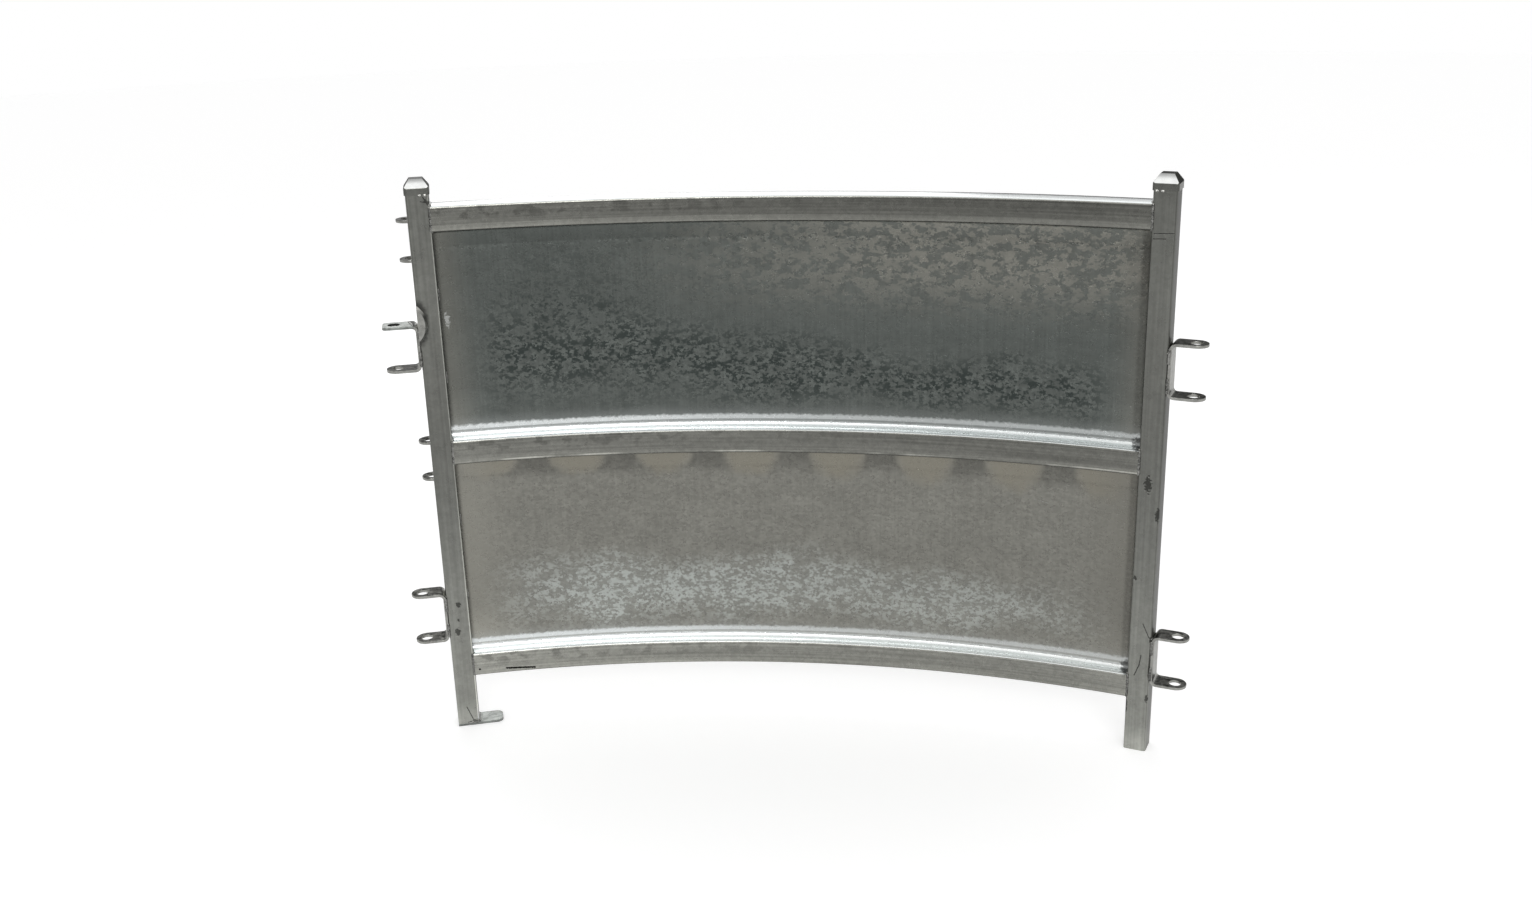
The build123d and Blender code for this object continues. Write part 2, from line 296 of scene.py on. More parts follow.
def merged_copy(node):
    """A copy of a solid's mesh as a new object, with its flat faces whole again."""
    copy = bpy.data.objects.new(node + "_copy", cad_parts[node].data.copy())
    bpy.context.collection.objects.link(copy)
    edit(copy)
    bpy.ops.mesh.remove_doubles(threshold=1e-6)
    bpy.ops.mesh.dissolve_limited(angle_limit=math.radians(0.5))
    finish_edit()
    return copy


# Materials


def put(tree, kind, inputs=None, **settings):
    """Add a node, with values or links at its inputs."""
    node = tree.nodes.new(kind)
    for name, value in settings.items():
        setattr(node, name, value)
    for key, value in (inputs or {}).items():
        if isinstance(value, bpy.types.NodeSocket):
            tree.links.new(value, node.inputs[key])
        else:
            node.inputs[key].default_value = value
    return node


def sums(tree, operation, first, second=0.0, clamp=False):
    """The result of a sum with two numbers."""
    return put(tree, "ShaderNodeMath", {0: first, 1: second}, operation=operation, use_clamp=clamp).outputs[0]


def step_between(tree, value, low, high):
    """A smooth rise from 0 at low to 1 at high."""
    inputs = {"Value": value, "From Min": low, "From Max": high}
    return put(tree, "ShaderNodeMapRange", inputs, interpolation_type="SMOOTHSTEP").outputs[0]


def between(tree, factor, first, second):
    """A colour between two."""
    inputs = {0: factor}
    for key, value in ((6, first), (7, second)):
        inputs[key] = value if isinstance(value, bpy.types.NodeSocket) else (*value, 1.0)
    return put(tree, "ShaderNodeMix", inputs, data_type="RGBA").outputs[2]


def stretched(tree, vector, scale):
    """A vector multiplied by three factors."""
    node = put(tree, "ShaderNodeVectorMath", {0: vector, 1: scale}, operation="MULTIPLY")
    return node.outputs[0]


def ramp(tree, value, stops):
    """A factor that follows a value from 0 to 1 through these stops."""
    node = put(tree, "ShaderNodeValToRGB", {0: value})
    elements = node.color_ramp.elements
    elements[0].position, elements[1].position = stops[0][0], stops[-1][0]
    for at, _ in stops[1:-1]:
        elements.new(at)
    for at, level in stops:
        element = next(one for one in elements if abs(one.position - at) < 1e-5)
        element.color = (level, level, level, 1.0)
    return node.outputs[0]


def new_group(name, inputs, outputs):
    """An empty shader node group with these sockets, and its inner input and output nodes."""
    group = bpy.data.node_groups.new(name, "ShaderNodeTree")
    for label, kind, value in inputs:
        socket = group.interface.new_socket(name=label, in_out="INPUT", socket_type=kind)
        if value is not None:
            socket.default_value = value
    for label, kind in outputs:
        group.interface.new_socket(name=label, in_out="OUTPUT", socket_type=kind)
    return group, group.nodes.new("NodeGroupInput"), group.nodes.new("NodeGroupOutput")


def spangle_group():
    """Crystals of hot-dip zinc: flat patches of random shade with torn edges."""
    inputs = (("Vector", "NodeSocketVector", None), ("Size", "NodeSocketFloat", 0.008))
    outputs = (("Shade", "NodeSocketFloat"), ("Cloud", "NodeSocketFloat"))
    group, given, result = new_group("Zinc Spangle", inputs, outputs)
    scale = sums(group, "DIVIDE", 1.0, given.outputs["Size"])
    tear = put(group, "ShaderNodeTexNoise",
               {"Vector": given.outputs["Vector"], "Scale": sums(group, "MULTIPLY", scale, 1.6), "Detail": 4.0})
    shift = put(group, "ShaderNodeVectorMath", {0: tear.outputs["Color"], 1: (0.5, 0.5, 0.5)}, operation="SUBTRACT")
    reach = sums(group, "MULTIPLY", given.outputs["Size"], 2.2)
    shift = put(group, "ShaderNodeVectorMath", {0: shift.outputs[0], "Scale": reach}, operation="SCALE")
    torn = put(group, "ShaderNodeVectorMath", {0: given.outputs["Vector"], 1: shift.outputs[0]}, operation="ADD")
    cells = put(group, "ShaderNodeTexVoronoi", {"Vector": torn.outputs[0], "Scale": scale})
    split = put(group, "ShaderNodeSeparateColor", {"Color": cells.outputs["Color"]})
    group.links.new(split.outputs[0], result.inputs["Shade"])
    cloud = put(group, "ShaderNodeTexNoise",
                {"Vector": given.outputs["Vector"], "Scale": sums(group, "MULTIPLY", scale, 0.22), "Detail": 5.0,
                 "Roughness": 0.65})
    group.links.new(cloud.outputs["Fac"], result.inputs["Cloud"])
    return group


def streak_group():
    """Fine drawn lines: noise stretched by three factors."""
    inputs = (("Vector", "NodeSocketVector", None), ("Stretch", "NodeSocketVector", (400.0, 400.0, 6.0)))
    group, given, result = new_group("Drawn Streaks", inputs, (("Streak", "NodeSocketFloat"),))
    lines = put(group, "ShaderNodeVectorMath",
                {0: given.outputs["Vector"], 1: given.outputs["Stretch"]}, operation="MULTIPLY")
    noise = put(group, "ShaderNodeTexNoise", {"Vector": lines.outputs[0], "Scale": 1.0, "Detail": 3.0})
    group.links.new(noise.outputs["Fac"], result.inputs["Streak"])
    return group


def spot_group():
    """A ragged spot round a point, 1 inside and 0 outside."""
    inputs = (
        ("Vector", "NodeSocketVector", None),
        ("Middle", "NodeSocketVector", (0.0, 0.0, 0.0)),
        ("Radii", "NodeSocketVector", (0.01, 0.01, 0.01)),
        ("Raggedness", "NodeSocketFloat", 0.6),
    )
    group, given, result = new_group("Ragged Spot", inputs, (("Mask", "NodeSocketFloat"),))
    away = put(group, "ShaderNodeVectorMath",
               {0: given.outputs["Vector"], 1: given.outputs["Middle"]}, operation="SUBTRACT")
    away = put(group, "ShaderNodeVectorMath",
               {0: away.outputs[0], 1: given.outputs["Radii"]}, operation="DIVIDE")
    length = put(group, "ShaderNodeVectorMath", {0: away.outputs[0]}, operation="LENGTH")
    noise = put(group, "ShaderNodeTexNoise",
                {"Vector": given.outputs["Vector"], "Scale": 260.0, "Detail": 4.0})
    ragged = sums(group, "MULTIPLY", sums(group, "SUBTRACT", noise.outputs["Fac"], 0.5),
                  sums(group, "MULTIPLY", given.outputs["Raggedness"], 3.0))
    edge = sums(group, "ADD", length.outputs["Value"], ragged)
    mask = put(group, "ShaderNodeMapRange",
               {"Value": edge, "From Min": 1.15, "From Max": 0.75}, interpolation_type="SMOOTHSTEP")
    group.links.new(mask.outputs[0], result.inputs["Mask"])
    return group


def scratch_group():
    """A thin ragged line between two points, 1 on it and 0 off it."""
    inputs = (
        ("Vector", "NodeSocketVector", None),
        ("Start", "NodeSocketVector", (0.0, 0.0, 0.0)),
        ("End", "NodeSocketVector", (0.0, 0.0, 0.01)),
        ("Width", "NodeSocketFloat", 0.001),
    )
    group, given, result = new_group("Scratch", inputs, (("Mask", "NodeSocketFloat"),))

    def vectors(operation, first, second):
        return put(group, "ShaderNodeVectorMath", {0: first, 1: second}, operation=operation)

    along = vectors("SUBTRACT", given.outputs["End"], given.outputs["Start"]).outputs[0]
    away = vectors("SUBTRACT", given.outputs["Vector"], given.outputs["Start"]).outputs[0]
    share = sums(group, "DIVIDE", vectors("DOT_PRODUCT", away, along).outputs["Value"],
                 vectors("DOT_PRODUCT", along, along).outputs["Value"], clamp=True)
    foot = put(group, "ShaderNodeVectorMath", {0: along, "Scale": share}, operation="SCALE").outputs[0]
    reach = vectors("DISTANCE", away, foot).outputs["Value"]
    noise = put(group, "ShaderNodeTexNoise", {"Vector": given.outputs["Vector"], "Scale": 500.0, "Detail": 3.0})
    width = sums(group, "MULTIPLY", given.outputs["Width"], sums(group, "MULTIPLY", noise.outputs["Fac"], 2.0))
    mask = step_between(group, sums(group, "DIVIDE", reach, width), 1.2, 0.6)
    group.links.new(mask, result.inputs["Mask"])
    return group


GROUPS = {}


def group_node(tree, maker, inputs):
    """A node of a shared effect, which is built once."""
    if maker not in GROUPS:
        GROUPS[maker] = maker()
    node = tree.nodes.new("ShaderNodeGroup")
    node.node_tree = GROUPS[maker]
    for key, value in inputs.items():
        if isinstance(value, bpy.types.NodeSocket):
            tree.links.new(value, node.inputs[key])
        else:
            node.inputs[key].default_value = value
    return node


class Finish:
    """A zinc material while it is being put together."""

    def __init__(self, name):
        self.material = bpy.data.materials.new(name)
        self.material.use_nodes = True
        self.tree = self.material.node_tree
        self.shader = self.tree.nodes["Principled BSDF"]
        place = self.tree.nodes.new("ShaderNodeTexCoord")
        self.vector = place.outputs["Object"]
        parts = put(self.tree, "ShaderNodeSeparateXYZ", {0: self.vector})
        self.x, self.y, self.height = parts.outputs
        normal = self.tree.nodes.new("ShaderNodeNewGeometry").outputs["Normal"]
        self.normal = normal
        self.upward = put(self.tree, "ShaderNodeSeparateXYZ", {0: normal}).outputs[2]

    def spangle(self, size, widening=1.0):
        """Crystal shades of this height, and wider than high by this factor."""
        squeezed = stretched(self.tree, self.vector, (1 / widening, 1 / widening, 1.0))
        return group_node(self.tree, spangle_group, {"Vector": squeezed, "Size": size})

    def streaks(self, stretch):
        """Drawn lines."""
        return group_node(self.tree, streak_group, {"Vector": self.vector, "Stretch": stretch}).outputs[0]

    def spot(self, middle, radii, raggedness=0.6):
        """Mask of one mark."""
        inputs = {"Vector": self.vector, "Middle": middle, "Radii": radii, "Raggedness": raggedness}
        return group_node(self.tree, spot_group, inputs).outputs[0]

    def spots(self, marks, raggedness=0.6):
        """Mask of several marks, each a middle and its radii."""
        mask = None
        for middle, radii in marks:
            one = self.spot(middle, radii, raggedness)
            mask = one if mask is None else sums(self.tree, "MAXIMUM", mask, one)
        return mask

    def lines(self, marks):
        """Mask of several scratches, each a start, an end and a width."""
        mask = None
        for start, end, width in marks:
            inputs = {"Vector": self.vector, "Start": start, "End": end, "Width": width}
            one = group_node(self.tree, scratch_group, inputs).outputs[0]
            mask = one if mask is None else sums(self.tree, "MAXIMUM", mask, one)
        return mask

    def shade(self, colour, factor, low, high):
        """A colour made darker or lighter between two factors."""
        amount = put(self.tree, "ShaderNodeMapRange", {"Value": factor, "To Min": low, "To Max": high},
                     clamp=False).outputs[0]
        given = colour if isinstance(colour, bpy.types.NodeSocket) else tuple(colour)
        return put(self.tree, "ShaderNodeVectorMath", {0: given, "Scale": amount}, operation="SCALE").outputs[0]

    def highlight_above(self, colour, ledge, low=0.55, high=0.95):
        """A colour that turns to a painted highlight on faces that look up."""
        return between(self.tree, step_between(self.tree, self.upward, low, high), colour, ledge)

    def turn(self):
        """The angle round the arc, nought in the middle and positive to the right."""
        across = sums(self.tree, "SUBTRACT", self.x, ARC_CENTRE.x)
        away = sums(self.tree, "SUBTRACT", self.y, ARC_CENTRE.y)
        return sums(self.tree, "ARCTAN2", across, away)

    def facing(self, quarter):
        """How far a face looks towards the panel's right (quarter 1) or back (quarter 0)."""
        tree = self.tree
        turn = sums(tree, "ADD", self.turn(), quarter * math.pi / 2)
        parts = {0: sums(tree, "SINE", turn), 1: sums(tree, "COSINE", turn)}
        towards = put(tree, "ShaderNodeCombineXYZ", parts).outputs[0]
        return put(tree, "ShaderNodeVectorMath", {0: self.normal, 1: towards}, operation="DOT_PRODUCT").outputs["Value"]

    def away(self):
        """The distance from the arc's centre line."""
        flat = put(self.tree, "ShaderNodeCombineXYZ", {0: self.x, 1: self.y}).outputs[0]
        from_centre = put(self.tree, "ShaderNodeVectorMath", {0: flat, 1: ARC_CENTRE}, operation="DISTANCE")
        return from_centre.outputs["Value"]

    def fading_right(self, left, right):
        """A factor that goes from one value at the left post to another at the right one."""
        inputs = {"Value": self.x, "From Min": -0.5, "From Max": 0.3, "To Min": left, "To Max": right}
        return put(self.tree, "ShaderNodeMapRange", inputs, interpolation_type="SMOOTHSTEP").outputs[0]

    def near_posts(self, reach):
        """1 at the posts, falling to 0 at this distance in from them."""
        length = sums(self.tree, "MULTIPLY", sums(self.tree, "ABSOLUTE", self.turn()), ARC_RADIUS)
        edge = ARC_RADIUS * HALF_TURN - POST_HALF
        return step_between(self.tree, length, edge - reach, edge)

    def close(self, colour, rough_factor, roughness, bump, depth, metallic=1.0):
        """Join colour, roughness and bump to the shader."""
        low, high = roughness
        rough = put(self.tree, "ShaderNodeMapRange", {"Value": rough_factor, "To Min": low, "To Max": high})
        bumped = put(self.tree, "ShaderNodeBump", {"Strength": 1.0, "Distance": depth, "Height": bump})
        self.tree.links.new(colour, self.shader.inputs["Base Color"])
        self.tree.links.new(rough.outputs[0], self.shader.inputs["Roughness"])
        self.tree.links.new(bumped.outputs[0], self.shader.inputs["Normal"])
        self.shader.inputs["Metallic"].default_value = metallic
        return self.material


MATERIALS = {}


def material(maker):
    """A finish that is made once and shared."""
    if maker not in MATERIALS:
        MATERIALS[maker] = maker(bpy.context.scene.hurdle_finish)
    return MATERIALS[maker]


def on_post(side, across, height):
    """A point on a post's front face."""
    return post_axes(side) @ Vector((across, -POST_HALF, height))


def post_burns():
    """Burnt spots on the posts' front faces: middles and radii."""
    left = ((0.001, 0.253, 0.004, 0.006), (-0.004, 0.198, 0.005, 0.007), (-0.001, 0.222, 0.002, 0.003),
            (0.013, 1.008, 0.003, 0.004), (0.019, 1.004, 0.003, 0.003), (0.002, 0.006, 0.004, 0.003),
            (0.013, 0.007, 0.005, 0.004), (0.018, 0.006, 0.004, 0.005))
    right = ((-0.0015, 0.514, 0.006, 0.014), (0.019, 0.461, 0.005, 0.012), (0.0165, 0.107, 0.003, 0.009),
             (-0.0145, 0.338, 0.003, 0.004), (0.019, 0.222, 0.003, 0.006), (-0.0185, 0.088, 0.002, 0.018))
    places = [(-1, spot) for spot in left] + [(1, spot) for spot in right]
    return [(on_post(side, across, height), (wide, 0.006, high)) for side, (across, height, wide, high) in places]


def post_scratches():
    """Scratches on the posts' front faces: starts, ends and widths."""
    left = ((-0.0014, 0.0396, 0.0107, 0.0058), (0.005, 1.007, 0.021, 1.003), (0.010, 1.014, 0.017, 1.000))
    right = ((-0.0148, 0.948, 0.018, 0.9495), (-0.016, 0.939, 0.004, 0.940), (0.0031, 0.191, 0.0006, 0.171),
             (0.0006, 0.171, -0.0072, 0.150), (0.0035, 0.252, 0.0154, 0.227), (0.019, 0.215, 0.0175, 0.150))
    places = [(-1, line) for line in left] + [(1, line) for line in right]
    return [(on_post(side, *line[:2]), on_post(side, *line[2:]), 0.0009) for side, line in places]


def post_finish(colours):
    """Drawn tube under matt zinc: lengthwise streaks, painted light towards the foot and the top, a painted highlight
    and painted shade at the side that looks right, painted shade round the weld pad, burns and scratches.
    """
    finish = Finish("Post Zinc")
    tree = finish.tree
    grain = finish.spangle(0.006)
    streak = finish.streaks((220.0, 220.0, 3.0))
    colour = finish.shade(colours.post_zinc, streak, 0.7, 1.3)
    colour = finish.shade(colour, grain.outputs["Shade"], 0.94, 1.06)
    colour = finish.shade(colour, grain.outputs["Cloud"], 0.8, 1.2)
    # Painted reflection: the tube is made lighter towards the foot and towards the top, by height, and lighter again
    # over its last few centimetres.
    colour = finish.shade(colour, step_between(tree, finish.height, 0.55, 0.05), 1.15, 2.1)
    colour = finish.shade(colour, step_between(tree, finish.height, 0.6, 0.9), 1.0, 1.25)
    colour = finish.shade(colour, step_between(tree, finish.height, 0.06, 0.005), 1.05, 1.6)
    # Painted highlight along the rounded edge that turns to the right, turning to slight painted shade at the right
    # post; painted shade on the side face that looks right, with its mirror light dimmed too.
    side = finish.facing(1)
    line = sums(tree, "MULTIPLY", step_between(tree, side, 0.2, 0.45), step_between(tree, side, 0.9, 0.7))
    colour = finish.shade(colour, sums(tree, "MULTIPLY", line, finish.fading_right(1.0, -0.15)), 1.0, 2.6)
    flank = step_between(tree, side, 0.93, 0.99)
    colour = finish.shade(colour, flank, 1.0, 0.75)
    grazing = finish.shade((1.0, 1.0, 1.0), flank, 1.0, 0.7)
    tree.links.new(grazing, finish.shader.inputs["Specular Tint"])
    dark = sums(tree, "MAXIMUM", finish.spots(post_burns(), 0.8), finish.lines(post_scratches()))
    colour = between(tree, sums(tree, "MULTIPLY", dark, 0.7), colour, colours.burnt_and_shade)
    # Painted shade round the weld pad on the left post.
    pad = finish.spot(on_post(-1, -0.017, 0.795), (0.0175, 0.012, 0.041), 0.1)
    colour = finish.shade(colour, pad, 1.0, 0.35)
    height = sums(tree, "ADD", sums(tree, "MULTIPLY", streak, 0.25), sums(tree, "MULTIPLY", grain.outputs["Cloud"], 0.5))
    height = sums(tree, "SUBTRACT", height, sums(tree, "MULTIPLY", dark, 1.5))
    return finish.close(colour, grain.outputs["Cloud"], (0.22, 0.36), height, 0.0005)


def rail_finish(colours):
    """Rolled tube under zinc: streaks along the arc, blotches from rolling, painted reflection bands, painted light on
    the lower rails, painted highlights on upward faces, painted shade at the top rail's back edge and by the right
    post, and tar marks.
    """
    finish = Finish("Rail Zinc")
    tree = finish.tree
    grain = finish.spangle(0.006)
    streak = finish.streaks((3.0, 3.0, 260.0))
    blotch = finish.streaks((40.0, 40.0, 60.0))
    colour = finish.shade(colours.rail_zinc, streak, 0.55, 1.45)
    colour = finish.shade(colour, grain.outputs["Shade"], 0.9, 1.1)
    level = sums(tree, "DIVIDE", sums(tree, "SUBTRACT", finish.height, RAIL_TOP["rail_bottom"] - RAIL_SIZE), RAIL_PITCH)
    level = sums(tree, "MULTIPLY", sums(tree, "FRACT", level), RAIL_PITCH / RAIL_SIZE)
    rolled = sums(tree, "MULTIPLY", step_between(tree, blotch, 0.5, 0.4), step_between(tree, level, 0.3, 0.6))
    rolled = sums(tree, "MULTIPLY", rolled, finish.fading_right(1.0, 0.25))
    colour = finish.shade(colour, rolled, 1.05, 0.75)
    # Painted reflection bands across each rail's height: dark and bright lines where the rounded corners catch light
    # and shade.
    reflection_bands = (
        (0.03, 0.4), (0.07, 1.4), (0.24, 1.2), (0.28, 1.0), (0.5, 1.0), (0.75, 1.1), (0.85, 1.15), (0.88, 0.8),
        (0.93, 1.9), (0.97, 1.0),
    )
    reflection_banded = finish.shade(colour, ramp(tree, level, reflection_bands), 0.0, 1.0)
    much = sums(tree, "ADD", 0.5, sums(tree, "MULTIPLY", step_between(tree, finish.height, 0.6, 0.9), 0.5))
    colour = between(tree, much, colour, reflection_banded)
    # Painted light: every rail is made lighter, the lower ones the more.
    colour = finish.shade(colour, step_between(tree, finish.height, 0.5, 0.1), 1.2, 2.0)
    colour = finish.shade(colour, finish.fading_right(1.05, 0.85), 0.0, 1.0)
    colour = finish.shade(colour, finish.near_posts(0.12), 1.0, 1.12)
    wander = put(tree, "ShaderNodeTexNoise", {"Vector": finish.vector, "Scale": 9.0, "Detail": 2.0})
    gleam = sums(tree, "MULTIPLY", step_between(tree, level, 0.03, 0.06), step_between(tree, level, 0.13, 0.10))
    gleam = sums(tree, "MULTIPLY", gleam, step_between(tree, wander.outputs["Fac"], 0.42, 0.58))
    gleam = sums(tree, "MULTIPLY", gleam, step_between(tree, finish.height, RAIL_TOP["rail_bottom"], SHEET_EDGES["sheet_lower"][1]))
    gleam = sums(tree, "MULTIPLY", gleam, step_between(tree, finish.height, RAIL_TOP["rail_top"], RAIL_TOP["rail_middle"]))
    colour = finish.shade(colour, gleam, 1.0, 2.2)
    # Painted highlight: faces that look up turn near white.
    colour = finish.highlight_above(colour, finish.shade(colours.highlight_and_scratch_zinc, streak, 0.6, 1.25), 0.45, 0.7)
    # Painted shade: a dark line on the top rail's upper back edge, strongest towards the right and near the posts.
    back = step_between(tree, finish.away(), ARC_RADIUS + RAIL_SIZE / 2 - 0.016, ARC_RADIUS + RAIL_SIZE / 2 - 0.008)
    back = sums(tree, "MULTIPLY", back, step_between(tree, finish.height, RAIL_TOP["rail_middle"], RAIL_TOP["rail_top"]))
    back = sums(tree, "MULTIPLY", back, step_between(tree, finish.upward, 0.05, 0.3))
    reach = sums(tree, "ADD", finish.fading_right(0.0, 1.0), finish.near_posts(0.15), clamp=True)
    colour = finish.shade(colour, sums(tree, "MULTIPLY", back, reach), 1.0, 0.1)
    tar = finish.lines([(on_arc(-0.2745, ARC_RADIUS - RAIL_SIZE / 2, 0.1145),
                         on_arc(-0.2484, ARC_RADIUS - RAIL_SIZE / 2, 0.1115), 0.002)])
    dot = finish.spot(on_arc(-0.2995, ARC_RADIUS - RAIL_SIZE / 2, 0.117), (0.002, 0.006, 0.002))
    # Tar marks on the bottom rail, and painted shade where the ledges meet the right post, in the dark colour.
    dark = sums(tree, "MAXIMUM", sums(tree, "MAXIMUM", tar, dot), ledge_end_shade(finish))
    colour = between(tree, dark, colour, colours.burnt_and_shade)
    height = sums(tree, "ADD", sums(tree, "MULTIPLY", streak, 0.3), sums(tree, "MULTIPLY", grain.outputs["Cloud"], 0.6))
    return finish.close(colour, grain.outputs["Cloud"], (0.2, 0.34), height, 0.0004)


def mixed_shade(tree, fine, coarse, share=0.6):
    """Shades of two sizes of crystal together, with this share of the finer one."""
    small = sums(tree, "MULTIPLY", fine.outputs["Shade"], share)
    return sums(tree, "ADD", small, sums(tree, "MULTIPLY", coarse.outputs["Shade"], 1 - share))


def ledge_end_shade(finish):
    """Painted shade where the ledges meet the right post."""
    heights = (RAIL_TOP["rail_middle"], RAIL_TOP["rail_bottom"])
    marks = [(post_axes(1) @ Vector((-POST_HALF - 0.002, 0, height + 0.006)), (0.014, 0.05, 0.013)) for height in heights]
    return sums(finish.tree, "MULTIPLY", finish.spots(marks, 0.5), 0.75)


def fleck_band(finish, centre, half, seed):
    """A wavy band of crystals, 1 inside and 0 outside, with its height and half its width at left and right."""
    tree = finish.tree
    shifted = put(tree, "ShaderNodeVectorMath", {0: finish.vector, 1: (seed, 0, 0)}, operation="ADD").outputs[0]
    drift = put(tree, "ShaderNodeTexNoise", {"Vector": shifted, "Scale": 5.0, "Detail": 6.0, "Roughness": 0.7})
    wander = sums(tree, "MULTIPLY", sums(tree, "SUBTRACT", drift.outputs["Fac"], 0.5), 0.16)
    level = sums(tree, "ADD", finish.height, wander)
    away = sums(tree, "ABSOLUTE", sums(tree, "SUBTRACT", level, finish.fading_right(*centre)))
    share = sums(tree, "DIVIDE", away, finish.fading_right(*half))
    return step_between(tree, share, 1.7, 0.1)


def sheet_edges(finish, colour, colours, low, amount, reach, warmth):
    """Sheet zinc with warm margins by the posts, lighter lower corners, painted shade beside the posts, a painted
    reflection of the ledge at the lower fold, and painted shade where the ledges meet the right post.
    """
    tree = finish.tree
    margin = sums(tree, "POWER", finish.near_posts(reach), 1.5)
    warm = finish.shade(colours.margin_zinc, finish.fading_right(*warmth), 0.0, 1.0)
    colour = between(tree, sums(tree, "MULTIPLY", margin, amount), colour, warm)
    corner = step_between(tree, sums(tree, "SUBTRACT", finish.height, low), 0.10, 0.03)
    corner = sums(tree, "MULTIPLY", sums(tree, "MULTIPLY", corner, finish.near_posts(0.12)), finish.fading_right(1.0, 0.6))
    colour = finish.shade(colour, corner, 1.0, 1.3)
    # Painted shade on the sheet right beside the posts.
    colour = finish.shade(colour, finish.near_posts(0.008), 1.0, 0.6)
    noise = put(tree, "ShaderNodeTexNoise", {"Vector": finish.vector, "Scale": 160.0, "Detail": 3.0})
    # Painted shade: a patchy dark strip beside the right post.
    strip = step_between(tree, finish.near_posts(0.024), 0.05, 0.5)
    strip = sums(tree, "MULTIPLY", strip, step_between(tree, finish.x, 0.0, 0.1))
    patchy = sums(tree, "ADD", 0.6, sums(tree, "MULTIPLY", step_between(tree, noise.outputs["Fac"], 0.3, 0.6), 0.4))
    colour = finish.shade(colour, sums(tree, "MULTIPLY", strip, patchy), 1.0, 0.68)
    # Painted reflection of the bright ledge just above the lower fold: a soft haze, a ragged bright peak and a small
    # dip, fading towards the right; the flange's upward faces take the same painted highlight.
    ragged = sums(tree, "MULTIPLY", sums(tree, "SUBTRACT", noise.outputs["Fac"], 0.5), 0.008)
    level = sums(tree, "SUBTRACT", finish.height, low)
    haze = sums(tree, "MULTIPLY", step_between(tree, level, 0.045, 0.012), 0.2)
    peak = step_between(tree, sums(tree, "ADD", level, ragged), 0.026, 0.019)
    dip = sums(tree, "MULTIPLY", step_between(tree, level, 0.0145, 0.013), step_between(tree, level, 0.009, 0.0105))
    glow = sums(tree, "MAXIMUM", haze, sums(tree, "SUBTRACT", peak, sums(tree, "MULTIPLY", dip, 0.5)))
    glow = sums(tree, "MULTIPLY", glow, finish.fading_right(1.0, 0.6))
    fold = finish.shade(colours.highlight_and_scratch_zinc, glow, 1.0, 1.25)
    colour = finish.highlight_above(between(tree, glow, colour, fold), fold, 0.6, 0.95)
    # Painted shade where the ledges meet the right post.
    return between(tree, ledge_end_shade(finish), colour, colours.burnt_and_shade)


